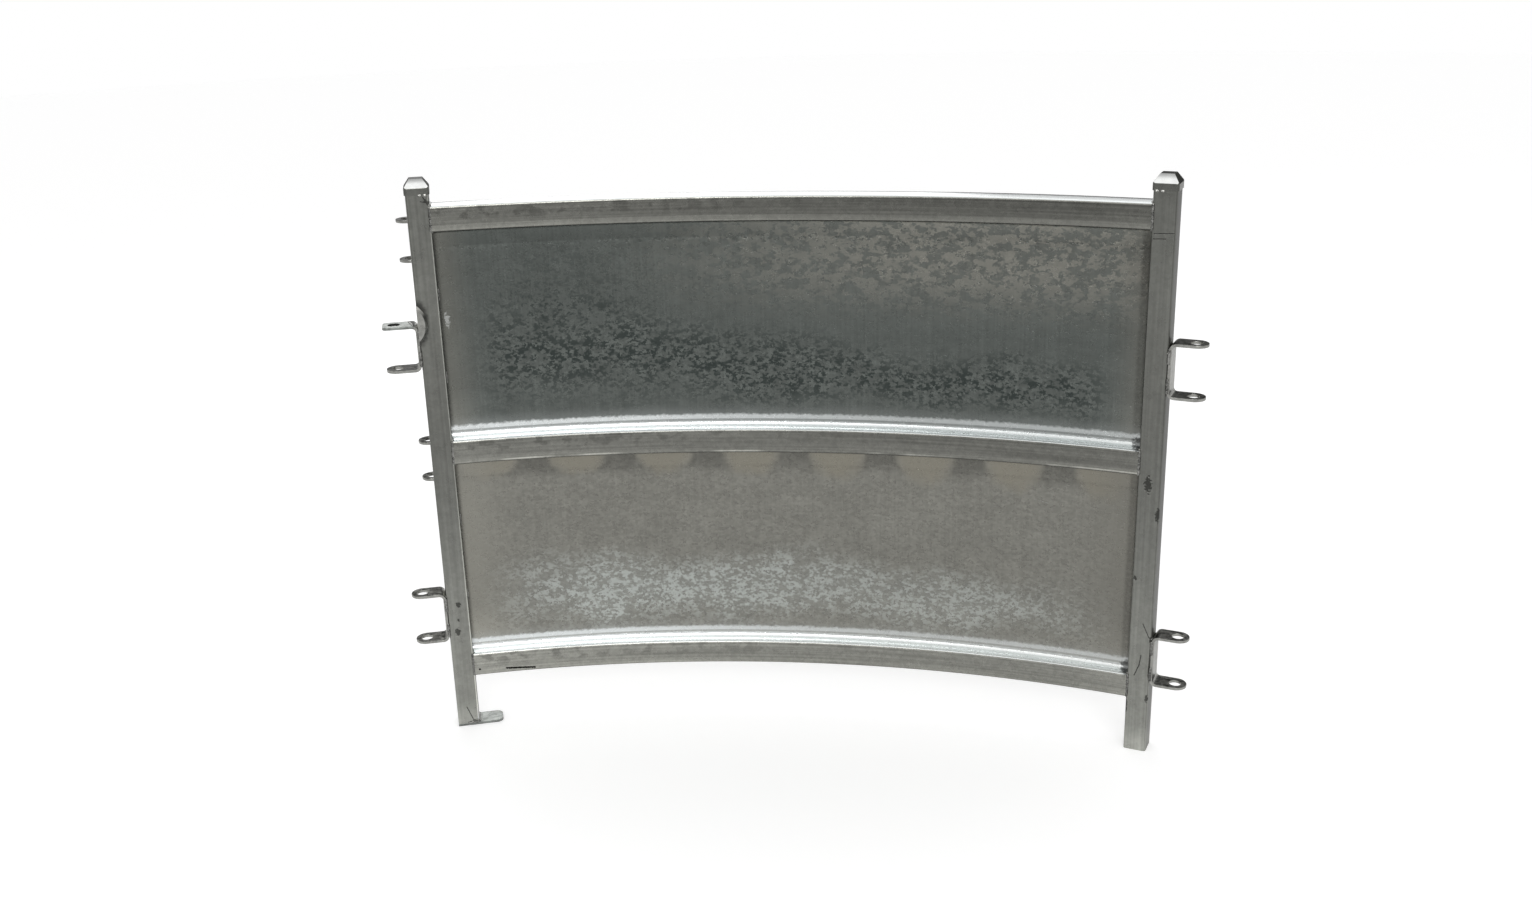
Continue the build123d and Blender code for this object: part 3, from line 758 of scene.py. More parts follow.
def upper_sheet_finish(colours):
    """Dark grey-green zinc with a band of dark flecks and beige patches at the upper right."""
    finish = Finish("Upper Sheet Zinc")
    tree = finish.tree
    low, high = SHEET_EDGES["sheet_upper"]
    fine = finish.spangle(0.0042, 1.3)
    coarse = finish.spangle(0.010, 1.5)
    streak = finish.streaks((240.0, 240.0, 5.0))
    colour = finish.shade(colours.upper_zinc, streak, 0.8, 1.2)
    colour = finish.shade(colour, fine.outputs["Shade"], 0.92, 1.08)
    colour = finish.shade(colour, coarse.outputs["Cloud"], 0.75, 1.25)
    across = step_between(tree, finish.x, -0.42, 0.3)
    up = step_between(tree, finish.height, high - 0.20, high - 0.07)
    haze = sums(tree, "MULTIPLY", across, up)
    patch = sums(tree, "MULTIPLY", haze, step_between(tree, mixed_shade(tree, fine, coarse, 0.3), 0.4, 0.6))
    patch = sums(tree, "ADD", sums(tree, "MULTIPLY", patch, 0.75), sums(tree, "MULTIPLY", haze, 0.2))
    colour = between(tree, patch, colour, colours.upper_light)
    # Painted shadow of the top rail: the sheet's upper 3 cm is darker and the rest a little lighter, less so towards
    # the right.
    strip = step_between(tree, finish.height, high - 0.031, high - 0.028)
    colour = finish.shade(colour, sums(tree, "MULTIPLY", strip, finish.fading_right(1.0, 0.4)), 1.03, 0.86)
    band = fleck_band(finish, (low + 0.15, low + 0.092), (0.085, 0.044), 3.1)
    band = sums(tree, "MULTIPLY", band, step_between(tree, sums(tree, "ABSOLUTE", finish.x), 0.58, 0.49))
    chosen = step_between(tree, mixed_shade(tree, fine, coarse), 0.47, 0.65)
    cloud = finish.spot(on_arc(math.radians(-10.5), ARC_RADIUS, high - 0.10), (0.13, 0.2, 0.07), 1.0)
    amount = sums(tree, "ADD", sums(tree, "MULTIPLY", cloud, 0.3), 0.12)
    dark = sums(tree, "MULTIPLY", sums(tree, "ADD", sums(tree, "MULTIPLY", band, 0.8), amount, clamp=True), chosen)
    colour = finish.shade(colour, band, 1.0, 0.88)
    colour = between(tree, dark, colour, colours.dark_fleck)
    light = step_between(tree, fine.outputs["Shade"], 0.4, 0.1)
    colour = finish.shade(colour, sums(tree, "MULTIPLY", band, light), 1.0, 1.35)
    # Painted shade: a ragged dark patch beside the right post.
    patch = finish.spot(on_arc(math.radians(17.25), ARC_RADIUS, 0.895), (0.009, 0.03, 0.055), 1.0)
    colour = finish.shade(colour, patch, 1.0, 0.55)
    glints = finish.spot(on_arc(math.radians(-17.15), ARC_RADIUS, 0.792), (0.004, 0.02, 0.013), 1.2)
    colour = between(tree, glints, colour, colours.highlight_and_scratch_zinc)
    colour = sheet_edges(finish, colour, colours, low, 0.6, 0.08, (1.0, 0.9))
    height = sums(tree, "ADD", coarse.outputs["Cloud"], sums(tree, "MULTIPLY", fine.outputs["Shade"], 0.08))
    return finish.close(colour, fine.outputs["Shade"], (0.26, 0.34), height, 0.0008)


def lower_sheet_finish(colours):
    """Warm grey zinc with a band of light flecks, and beige scallops under the middle rail."""
    finish = Finish("Lower Sheet Zinc")
    tree = finish.tree
    low, high = SHEET_EDGES["sheet_lower"]
    fine = finish.spangle(0.0042, 1.3)
    coarse = finish.spangle(0.010, 1.5)
    streak = finish.streaks((240.0, 240.0, 5.0))
    colour = finish.shade(colours.lower_zinc, streak, 0.88, 1.12)
    colour = finish.shade(colour, coarse.outputs["Cloud"], 0.8, 1.2)
    colour = finish.shade(colour, fine.outputs["Shade"], 0.86, 1.14)
    band = fleck_band(finish, (low + 0.108, low + 0.096), (0.054, 0.044), 7.7)
    band = sums(tree, "MULTIPLY", band, step_between(tree, sums(tree, "ABSOLUTE", finish.x), 0.65, 0.3))
    chosen = step_between(tree, mixed_shade(tree, fine, coarse), 0.47, 0.68)
    light = sums(tree, "MULTIPLY", band, sums(tree, "ADD", chosen, 0.28), clamp=True)
    light = sums(tree, "MULTIPLY", light, finish.fading_right(1.2, 0.7), clamp=True)
    colour = between(tree, light, colour, colours.lower_light)
    colour = finish.shade(colour, step_between(tree, finish.height, low + 0.12, low + 0.03), 1.0, 1.15)
    colour = stitch_scallops(finish, colour, colours, high)
    scratch = finish.lines([(on_arc(math.radians(12.3), ARC_RADIUS, 0.457),
                             on_arc(math.radians(13.0), ARC_RADIUS, 0.452), 0.0009)])
    colour = between(tree, sums(tree, "MULTIPLY", scratch, 0.5), colour, colours.highlight_and_scratch_zinc)
    colour = sheet_edges(finish, colour, colours, low, 0.8, 0.14, (1.4, 1.02))
    height = sums(tree, "ADD", coarse.outputs["Cloud"], sums(tree, "MULTIPLY", fine.outputs["Shade"], 0.08))
    return finish.close(colour, fine.outputs["Shade"], (0.26, 0.34), height, 0.0008)


def stitch_scallops(finish, colour, colours, high):
    """Beige scallops in line with the stitches behind the sheet, and grey blotches between them."""
    tree = finish.tree
    pitch = PANEL_TURN / STITCH_COUNT
    phase = sums(tree, "FRACT", sums(tree, "DIVIDE", sums(tree, "ADD", finish.turn(), HALF_TURN), pitch))
    across = sums(tree, "ABSOLUTE", sums(tree, "SUBTRACT", phase, 0.5))
    noise = put(tree, "ShaderNodeTexNoise", {"Vector": finish.vector, "Scale": 45.0, "Detail": 3.0})
    ragged = sums(tree, "MULTIPLY", sums(tree, "SUBTRACT", noise.outputs["Fac"], 0.5), 0.03)
    drop = sums(tree, "ADD", sums(tree, "SUBTRACT", high, finish.height), ragged)
    wide = sums(tree, "POWER", sums(tree, "DIVIDE", across, 0.3), 2.0)
    depth = finish.fading_right(0.038, 0.056)
    deep = sums(tree, "POWER", sums(tree, "DIVIDE", sums(tree, "MAXIMUM", drop, 0.0), depth), 2.0)
    away = sums(tree, "ADD", wide, deep)
    beige = step_between(tree, away, 1.7, 0.4)
    colour = between(tree, sums(tree, "MULTIPLY", beige, 0.75), colour, colours.scallop_beige)
    strip = step_between(tree, drop, 0.055, 0.015)
    grey = sums(tree, "MULTIPLY", strip, step_between(tree, away, 0.9, 1.5))
    return finish.shade(colour, grey, 1.0, 0.68)


def bar_finish(colours):
    """Zinc over flat bar, darker and mottled on the faces that look up, with painted light on the upright faces and
    painted highlights along the rounded edges.
    """
    finish = Finish("Bar Zinc")
    tree = finish.tree
    grain = finish.spangle(0.005)
    colour = finish.shade(colours.bar_zinc, grain.outputs["Shade"], 0.85, 1.2)
    colour = finish.shade(colour, grain.outputs["Cloud"], 0.5, 1.5)
    up = step_between(tree, finish.upward, 0.6, 0.98)
    mottled = finish.shade(colour, grain.outputs["Shade"], 0.16, 0.7)
    colour = between(tree, up, colour, mottled)
    tree.links.new(finish.shade((1.0, 1.0, 1.0), up, 1.0, 0.45), finish.shader.inputs["Specular Tint"])
    # Painted light on the upright faces.
    upright = step_between(tree, sums(tree, "ABSOLUTE", finish.upward), 0.3, 0.1)
    colour = finish.shade(colour, upright, 1.0, 2.3)
    # Painted highlight along the rounded edges.
    rim_highlight = sums(tree, "MULTIPLY", step_between(tree, finish.upward, 0.2, 0.4), step_between(tree, finish.upward, 0.9, 0.75))
    colour = finish.shade(colour, rim_highlight, 1.0, 4.0)
    return finish.close(colour, grain.outputs["Cloud"], (0.2, 0.4), grain.outputs["Cloud"], 0.0006)


def bright_bar_finish(colours):
    """Newer, mottled zinc of the replaced lug and the foot plate."""
    finish = Finish("Bright Bar Zinc")
    tree = finish.tree
    grain = finish.spangle(0.006)
    colour = finish.shade(colours.bright_zinc, grain.outputs["Shade"], 0.75, 1.25)
    colour = finish.shade(colour, grain.outputs["Cloud"], 0.4, 1.5)
    # Painted shade inside the replaced lug's hole.
    bore_shade = finish.spot(post_axes(-1) @ Vector((-0.062, 0.0, 0.788)), (0.0125, 0.0125, 0.02), 0.1)
    bore_shade = sums(tree, "MULTIPLY", bore_shade, step_between(tree, finish.upward, 0.8, 0.4))
    colour = between(tree, bore_shade, colour, colours.burnt_and_shade)
    return finish.close(colour, grain.outputs["Cloud"], (0.35, 0.6), grain.outputs["Cloud"], 0.0008)


def cap_finish(colours):
    """Pressed steel, darker on the skirt, with painted highlights on the crown's front facets, painted shade on its
    flat top and side facets, and small scuffs.
    """
    finish = Finish("Pressed Cap Steel")
    grain = finish.spangle(0.006)
    tree = finish.tree
    colour = finish.shade(colours.post_zinc, grain.outputs["Cloud"], 0.8, 1.7)
    # Painted highlight on the crown's front facets, darker higher up.
    bright = finish.shade(colours.cap_facet_highlight, grain.outputs["Cloud"], 0.6, 1.2)
    bright = finish.shade(bright, step_between(tree, finish.height, POST_TOP + 0.008, POST_TOP + 0.016), 1.0, 0.5)
    front = sums(tree, "MULTIPLY", step_between(tree, finish.upward, 0.3, 0.6), step_between(tree, finish.facing(0), -0.2, -0.4))
    colour = between(tree, front, colour, bright)
    # Painted shade on the crown's flat top and side facets, with their mirror light dimmed too.
    flat = step_between(tree, finish.upward, 0.75, 0.95)
    aside = step_between(tree, sums(tree, "ABSOLUTE", finish.facing(1)), 0.3, 0.6)
    shaded_facets = sums(tree, "MAXIMUM", flat, sums(tree, "MULTIPLY", aside, step_between(tree, finish.upward, 0.3, 0.5)))
    colour = finish.shade(colour, shaded_facets, 1.0, sums(tree, "ADD", 0.4, sums(tree, "MULTIPLY", aside, 0.4)))
    tree.links.new(finish.shade((1.0, 1.0, 1.0), shaded_facets, 1.0, 0.4), finish.shader.inputs["Specular Tint"])
    return finish.close(colour, grain.outputs["Cloud"], (0.2, 0.35), grain.outputs["Cloud"], 0.0004)


def weld_finish(colours):
    """Beads under zinc, with bright specks and scorched pits."""
    finish = Finish("Weld Zinc")
    tree = finish.tree
    grain = finish.spangle(0.0035)
    colour = finish.shade(colours.weld_metal, grain.outputs["Shade"], 0.5, 1.8)
    pits = step_between(tree, grain.outputs["Cloud"], 0.6, 0.72)
    colour = between(tree, pits, colour, colours.burnt_and_shade)
    colour = finish.shade(colour, step_between(tree, finish.height, POST_TOP - 0.018, POST_TOP - 0.014), 1.0, 2.6)
    return finish.close(colour, grain.outputs["Shade"], (0.2, 0.45), grain.outputs["Cloud"], 0.0006)


# Pieces


def bisected(piece, fill):
    """Cut a piece that runs round the arc to the posts' inner faces."""
    for side in SIDES:
        axes = post_axes(side)
        face = axes @ Vector((-side * POST_HALF, 0, 0))
        inwards = axes.to_3x3() @ Vector((-side, 0, 0))
        edit(piece)
        bpy.ops.mesh.bisect(plane_co=face, plane_no=inwards, use_fill=fill, clear_inner=True)
        finish_edit()


def spun(piece, steps):
    """Carry the open piece's profile round the arc from its right end to its left."""
    edit(piece)
    bpy.ops.mesh.spin(steps=steps, angle=-PANEL_TURN, center=ARC_CENTRE, axis=(0, 0, 1))
    bpy.ops.mesh.select_all(action="SELECT")
    bpy.ops.mesh.remove_doubles(threshold=1e-6)
    bpy.ops.mesh.normals_make_consistent(inside=False)
    finish_edit()


def bent_rail(node, corner):
    """A square tube with rounded corners, rolled to the arc."""
    steps = 90
    top = RAIL_TOP[node]
    deselect()
    bpy.ops.mesh.primitive_plane_add(
        size=RAIL_SIZE, location=on_arc(HALF_TURN, ARC_RADIUS, top - RAIL_SIZE / 2),
        rotation=(0, math.radians(90), -HALF_TURN),
    )
    piece = bpy.context.object
    settle(piece)
    edit(piece)
    bpy.ops.mesh.bevel(offset=corner, segments=5, affect="VERTICES")
    bpy.ops.mesh.select_all(action="SELECT")
    bpy.ops.mesh.delete(type="ONLY_FACE")
    finish_edit()
    spun(piece, steps)
    bisected(piece, True)
    smooth(piece, 30)
    return piece


def round_corners(piece, corners, radius):
    """Round the corners of an open profile that lie at these points."""
    edit(piece)
    bpy.ops.mesh.select_all(action="DESELECT")
    finish_edit()
    for point in piece.data.vertices:
        point.select = min((point.co - corner).length for corner in corners) < 1e-5
    take(piece)
    bpy.ops.object.mode_set(mode="EDIT")
    bpy.ops.mesh.bevel(offset=radius, segments=4, affect="VERTICES")
    finish_edit()


def folded_sheet(node, fold, waviness):
    """A thin sheet with its lower flange, joggle and upper flange, rolled to the arc."""
    steps = 90
    rows = 12
    low, high = SHEET_EDGES[node]
    half = SHEET_THICK / 2
    joggle = high - JOGGLE_DROP
    face = joggle - JOGGLE_HEIGHT - low - half
    outwards = Vector((math.sin(HALF_TURN), math.cos(HALF_TURN), 0))
    rise = Vector((0, 0, 1))
    legs = [outwards * (SHEET_FLANGE + half)] + [rise * face / rows] * rows
    legs.append(outwards * JOGGLE_DEPTH + rise * JOGGLE_HEIGHT)
    legs.append(rise * (JOGGLE_DROP - half))
    legs.append(outwards * -(SHEET_FLANGE + half))
    deselect()
    start = on_arc(HALF_TURN, ARC_RADIUS - SHEET_FLANGE - half, low + half)
    bpy.ops.mesh.primitive_plane_add(size=SHEET_THICK, location=start)
    piece = bpy.context.object
    settle(piece)
    edit(piece)
    bpy.ops.mesh.merge(type="CENTER")
    for leg in legs:
        bpy.ops.mesh.extrude_region_move(TRANSFORM_OT_translate={"value": leg})
    finish_edit()
    corners = [sum(legs[:count], Vector(start)) for count in (1, 1 + rows, 2 + rows, 3 + rows)]
    round_corners(piece, (corners[0], corners[-1]), fold)
    round_corners(piece, corners[1:-1], JOGGLE_DEPTH)
    spun(piece, steps)
    bisected(piece, False)
    cloud = bpy.data.textures.new(node + "_waves", "CLOUDS")
    cloud.noise_scale = 0.2
    modify(piece, "DISPLACE", texture=cloud, strength=waviness, texture_coords="LOCAL")
    modify(piece, "SOLIDIFY", thickness=SHEET_THICK, offset=0.0, use_even_offset=True)
    smooth(piece, 40)
    return piece


def softened(node, edge, segments=2):
    """A solid with its sharp edges rounded a little."""
    piece = merged_copy(node)
    modify(piece, "BEVEL", width=edge, segments=segments, limit_method="ANGLE",
           angle_limit=math.radians(33), harden_normals=False)
    smooth(piece, 32)
    modify(piece, "WEIGHTED_NORMAL", keep_sharp=True)
    return piece


class Runs:
    """Weld runs, gathered as a row of overlapping blobs for each, then melted together."""

    def __init__(self, shapes):
        self.radius = shapes.bead_radius
        self.step = shapes.bead_step
        self.blobs = []
        self.random = random.Random(7)

    def run(self, start, end, radius=None):
        """One bead from start to end."""
        radius = radius or self.radius
        along = Vector(end) - Vector(start)
        count = max(2, round(along.length / self.step) + 1)
        deselect()
        bpy.ops.mesh.primitive_uv_sphere_add(segments=12, ring_count=8, radius=radius, location=start)
        blob = bpy.context.object
        settle(blob)
        modify(blob, "ARRAY", count=count, use_relative_offset=False, use_constant_offset=True,
               constant_offset_displace=along / (count - 1))
        self.blobs.append(blob)

    def spatter(self, middle, spread, count):
        """Small beads of spatter about a point."""
        for _ in range(count):
            away = Vector([self.random.uniform(-1, 1) * reach for reach in spread])
            deselect()
            radius = self.random.uniform(0.0006, 0.0013)
            bpy.ops.mesh.primitive_ico_sphere_add(subdivisions=2, radius=radius, location=Vector(middle) + away)
            settle(bpy.context.object)
            self.blobs.append(bpy.context.object)

    def melted(self):
        """The runs as one mesh, with their ripples kept and small unevenness added."""
        take(*self.blobs)
        bpy.ops.object.join()
        piece = bpy.context.object
        piece.modifiers.clear()
        modify(piece, "REMESH", mode="VOXEL", voxel_size=0.0006)
        cloud = bpy.data.textures.new("bead_lumps", "CLOUDS")
        cloud.noise_scale = 0.004
        modify(piece, "DISPLACE", texture=cloud, strength=0.0008, texture_coords="LOCAL")
        modify(piece, "SMOOTH", factor=0.5, iterations=1)
        settle(piece)
        take(piece)
        bpy.ops.object.shade_smooth()
        return piece


def rail_end_runs(runs, side):
    """Beads over, under, before and behind the rails' ends at one post."""
    axes = post_axes(side)
    inner = -side * POST_HALF
    half = POST_FLAT / 2
    for top in RAIL_TOP.values():
        bottom = top - RAIL_SIZE
        runs.run(axes @ Vector((inner, -half, top)), axes @ Vector((inner, half, top)))
        runs.run(axes @ Vector((inner, -half, bottom)), axes @ Vector((inner, half, bottom)))
        for edge in (-1, 1):
            corner = Vector((inner + side * 0.001, edge * (POST_HALF + 0.0003), 0))
            low = axes @ (corner + Vector((0, 0, bottom + 0.003)))
            high = axes @ (corner + Vector((0, 0, top - 0.003)))
            runs.run(low, high)


def strap_runs(runs, side):
    """Beads down both edges of the side brackets' straps, with blobs at the bends."""
    axes = post_axes(side)
    length = 0.022
    for node, at in SIDE_BRACKETS.items():
        if at != side:
            continue
        low, high = bottom_of(node), top_of(node)
        for edge in (-1, 1):
            spot = Vector((side * (POST_HALF + 0.0006), edge * (POST_HALF - 0.0004), 0))
            for start in (low + BAR_BEND_OUTSIDE, high - BAR_BEND_OUTSIDE - length):
                first = axes @ (spot + Vector((0, 0, start)))
                last = axes @ (spot + Vector((0, 0, start + length)))
                runs.run(first, last)
        front = axes @ Vector((side * POST_HALF, -POST_HALF, high - BAR_BEND_OUTSIDE))
        runs.spatter(front, (0.004, 0.0015, 0.012), 10)


# Operators


class HurdlePosts(bpy.types.Operator):
    """The two square post tubes"""

    bl_idname = "hurdle.posts"
    bl_label = "Posts"

    def execute(self, context):
        """Smooth copies of both tubes in post zinc."""
        for node in ("post_left", "post_right"):
            piece = merged_copy(node)
            smooth(piece, 30)
            finished(piece, node.replace("post", "post_tube"), material(post_finish), "galvanised_tube", node)
        return {"FINISHED"}


class HurdleCaps(bpy.types.Operator):
    """The two pressed caps"""

    bl_idname = "hurdle.caps"
    bl_label = "Caps"

    def execute(self, context):
        """Caps with softened creases."""
        for node in ("cap_left", "cap_right"):
            piece = softened(node, context.scene.hurdle_shapes.cap_edge, 3)
            finished(piece, node.replace("cap", "pressed_cap"), material(cap_finish), "pressed_cap", node)
        return {"FINISHED"}


class HurdleRails(bpy.types.Operator):
    """The three rolled rails"""

    bl_idname = "hurdle.rails"
    bl_label = "Rails"

    def execute(self, context):
        """Spin each rail's rounded section round the arc."""
        for node in RAILS:
            piece = bent_rail(node, context.scene.hurdle_shapes.rail_corner)
            finished(piece, node.replace("rail", "rolled_rail"), material(rail_finish), "galvanised_tube", node)
        return {"FINISHED"}


class HurdleSheets(bpy.types.Operator):
    """The two folded sheets"""

    bl_idname = "hurdle.sheets"
    bl_label = "Sheets"

    def execute(self, context):
        """Spin each sheet's folded section round the arc."""
        shapes = context.scene.hurdle_shapes
        makers = {"sheet_upper": upper_sheet_finish, "sheet_lower": lower_sheet_finish}
        for node, maker in makers.items():
            piece = folded_sheet(node, shapes.sheet_fold, shapes.waviness)
            finished(piece, node.replace("sheet", "folded_sheet"), material(maker), "galvanised_sheet", node)
        return {"FINISHED"}


class HurdleBrackets(bpy.types.Operator):
    """The six U brackets and the replaced lug"""

    bl_idname = "hurdle.brackets"
    bl_label = "Brackets"

    def execute(self, context):
        """Brackets with rounded bar edges."""
        edge = context.scene.hurdle_shapes.bar_edge
        for node in (*SIDE_BRACKETS, *BACK_BRACKETS):
            piece = softened(node, edge)
            finished(piece, node.replace("bracket", "u_bracket"), material(bar_finish), "flat_bar", node)
        piece = softened("repair_lug", edge)
        finished(piece, "replaced_lug", material(bright_bar_finish), "zinc_bar", "repair_lug")
        return {"FINISHED"}


class HurdleFoot(bpy.types.Operator):
    """The foot plate and the pad on the left post"""

    bl_idname = "hurdle.foot"
    bl_label = "Foot and pad"

    def execute(self, context):
        """Rounded foot plate and weld pad."""
        shapes = context.scene.hurdle_shapes
        piece = softened("foot_plate", shapes.bar_edge)
        finished(piece, "foot_bar", material(bright_bar_finish), "flat_bar", "foot_plate")
        piece = softened("weld_pad_left", shapes.cap_edge, 3)
        finished(piece, "weld_pad", material(bar_finish), "weld_metal", "weld_pad_left")
        return {"FINISHED"}


class HurdleWelds(bpy.types.Operator):
    """All the weld beads"""

    bl_idname = "hurdle.welds"
    bl_label = "Welds"

    def execute(self, context):
        """Rippled beads in place of each weld solid."""
        shapes = context.scene.hurdle_shapes
        for side, word in ((-1, "left"), (1, "right")):
            runs = Runs(shapes)
            rail_end_runs(runs, side)
            self.keep(runs, "rail_beads_" + word, "weld_rails_" + word)
            runs = Runs(shapes)
            strap_runs(runs, side)
            self.keep(runs, "bracket_beads_" + word, "weld_brackets_" + word)
        self.keep(self.back_runs(shapes), "bracket_beads_back", "weld_brackets_back")
        self.keep(self.cap_runs(shapes), "cap_beads", "weld_caps")
        self.keep(self.sheet_runs(shapes), "sheet_beads", "weld_sheets")
        self.keep(self.foot_runs(shapes), "foot_beads", "weld_foot")
        self.keep(self.joint_run(shapes), "joint_bead", "weld_repair")
        return {"FINISHED"}

    def keep(self, runs, name, node):
        """Finish one group of beads."""
        finished(runs.melted(), name, material(weld_finish), "weld_metal", node)

    def back_runs(self, shapes):
        """Beads of the two brackets behind the left post."""
        runs = Runs(shapes)
        axes = post_axes(-1)
        for node in BACK_BRACKETS:
            low, high = bottom_of(node), top_of(node)
            strap = Vector((POST_HALF - BAR_THICK, POST_HALF, 0))
            first = axes @ (strap + Vector((0, 0, low + BAR_BEND_OUTSIDE)))
            runs.run(first, axes @ (strap + Vector((0, 0, high - BAR_BEND_OUTSIDE))))
            for level in (low, high):
                first = axes @ Vector((-0.016, POST_HALF, level))
                runs.run(first, axes @ Vector((0.004, POST_HALF, level)))
        return runs

    def cap_runs(self, shapes):
        """Tacks under the caps' skirts, two in front and one behind."""
        runs = Runs(shapes)
        spacing = 0.009
        half = Vector((0.001, 0, 0))
        for side in SIDES:
            axes = post_axes(side)
            for along, edge in ((-side * spacing / 2, -1), (-side * spacing * 1.5, -1), (0, 1)):
                middle = Vector((along, edge * (POST_HALF + 0.0005), POST_TOP - CAP_LAP))
                runs.run(axes @ (middle - half), axes @ (middle + half), 0.0023)
        return runs

    def sheet_runs(self, shapes):
        """Stitches behind the sheets and tacks at their ends."""
        runs = Runs(shapes)
        turn = STITCH_LENGTH / ARC_RADIUS / 2
        for low, high in SHEET_EDGES.values():
            for level, back in ((low, SHEET_THICK / 2), (high, SHEET_THICK / 2 + JOGGLE_DEPTH)):
                for index in range(STITCH_COUNT):
                    middle = PANEL_TURN * ((index + 0.5) / STITCH_COUNT - 0.5)
                    radius = ARC_RADIUS + back + 0.0004
                    runs.run(on_arc(middle - turn, radius, level), on_arc(middle + turn, radius, level))
            for side in SIDES:
                axes = post_axes(side)
                for share in (0.3, 0.7):
                    level = low + share * (high - low)
                    spot = Vector((-side * POST_HALF, -SHEET_THICK / 2, level))
                    half = Vector((0, 0, 0.009))
                    runs.run(axes @ (spot - half), axes @ (spot + half), 0.0024)
        return runs

    def foot_runs(self, shapes):
        """Beads of the foot plate."""
        runs = Runs(shapes)
        axes = post_axes(-1)
        half = POST_FLAT / 2
        runs.run(axes @ Vector((POST_HALF, -half, BAR_THICK)), axes @ Vector((POST_HALF, half, BAR_THICK)))
        front = -POST_HALF + 0.0005
        runs.run(axes @ Vector((0, front, BAR_THICK)), axes @ Vector((half, front, BAR_THICK)), 0.0018)
        return runs

    def joint_run(self, shapes):
        """The bead along the slanting joint of the replaced lug."""
        runs = Runs(shapes)
        axes = post_axes(-1)
        top = top_of("bracket_left_upper")
        front = Vector((-POST_HALF - 0.0095, -0.014, top - 0.0006))
        back = Vector((-POST_HALF - 0.0165, 0.014, top - 0.0006))
        runs.run(axes @ front, axes @ back, 0.0022)
        return runs


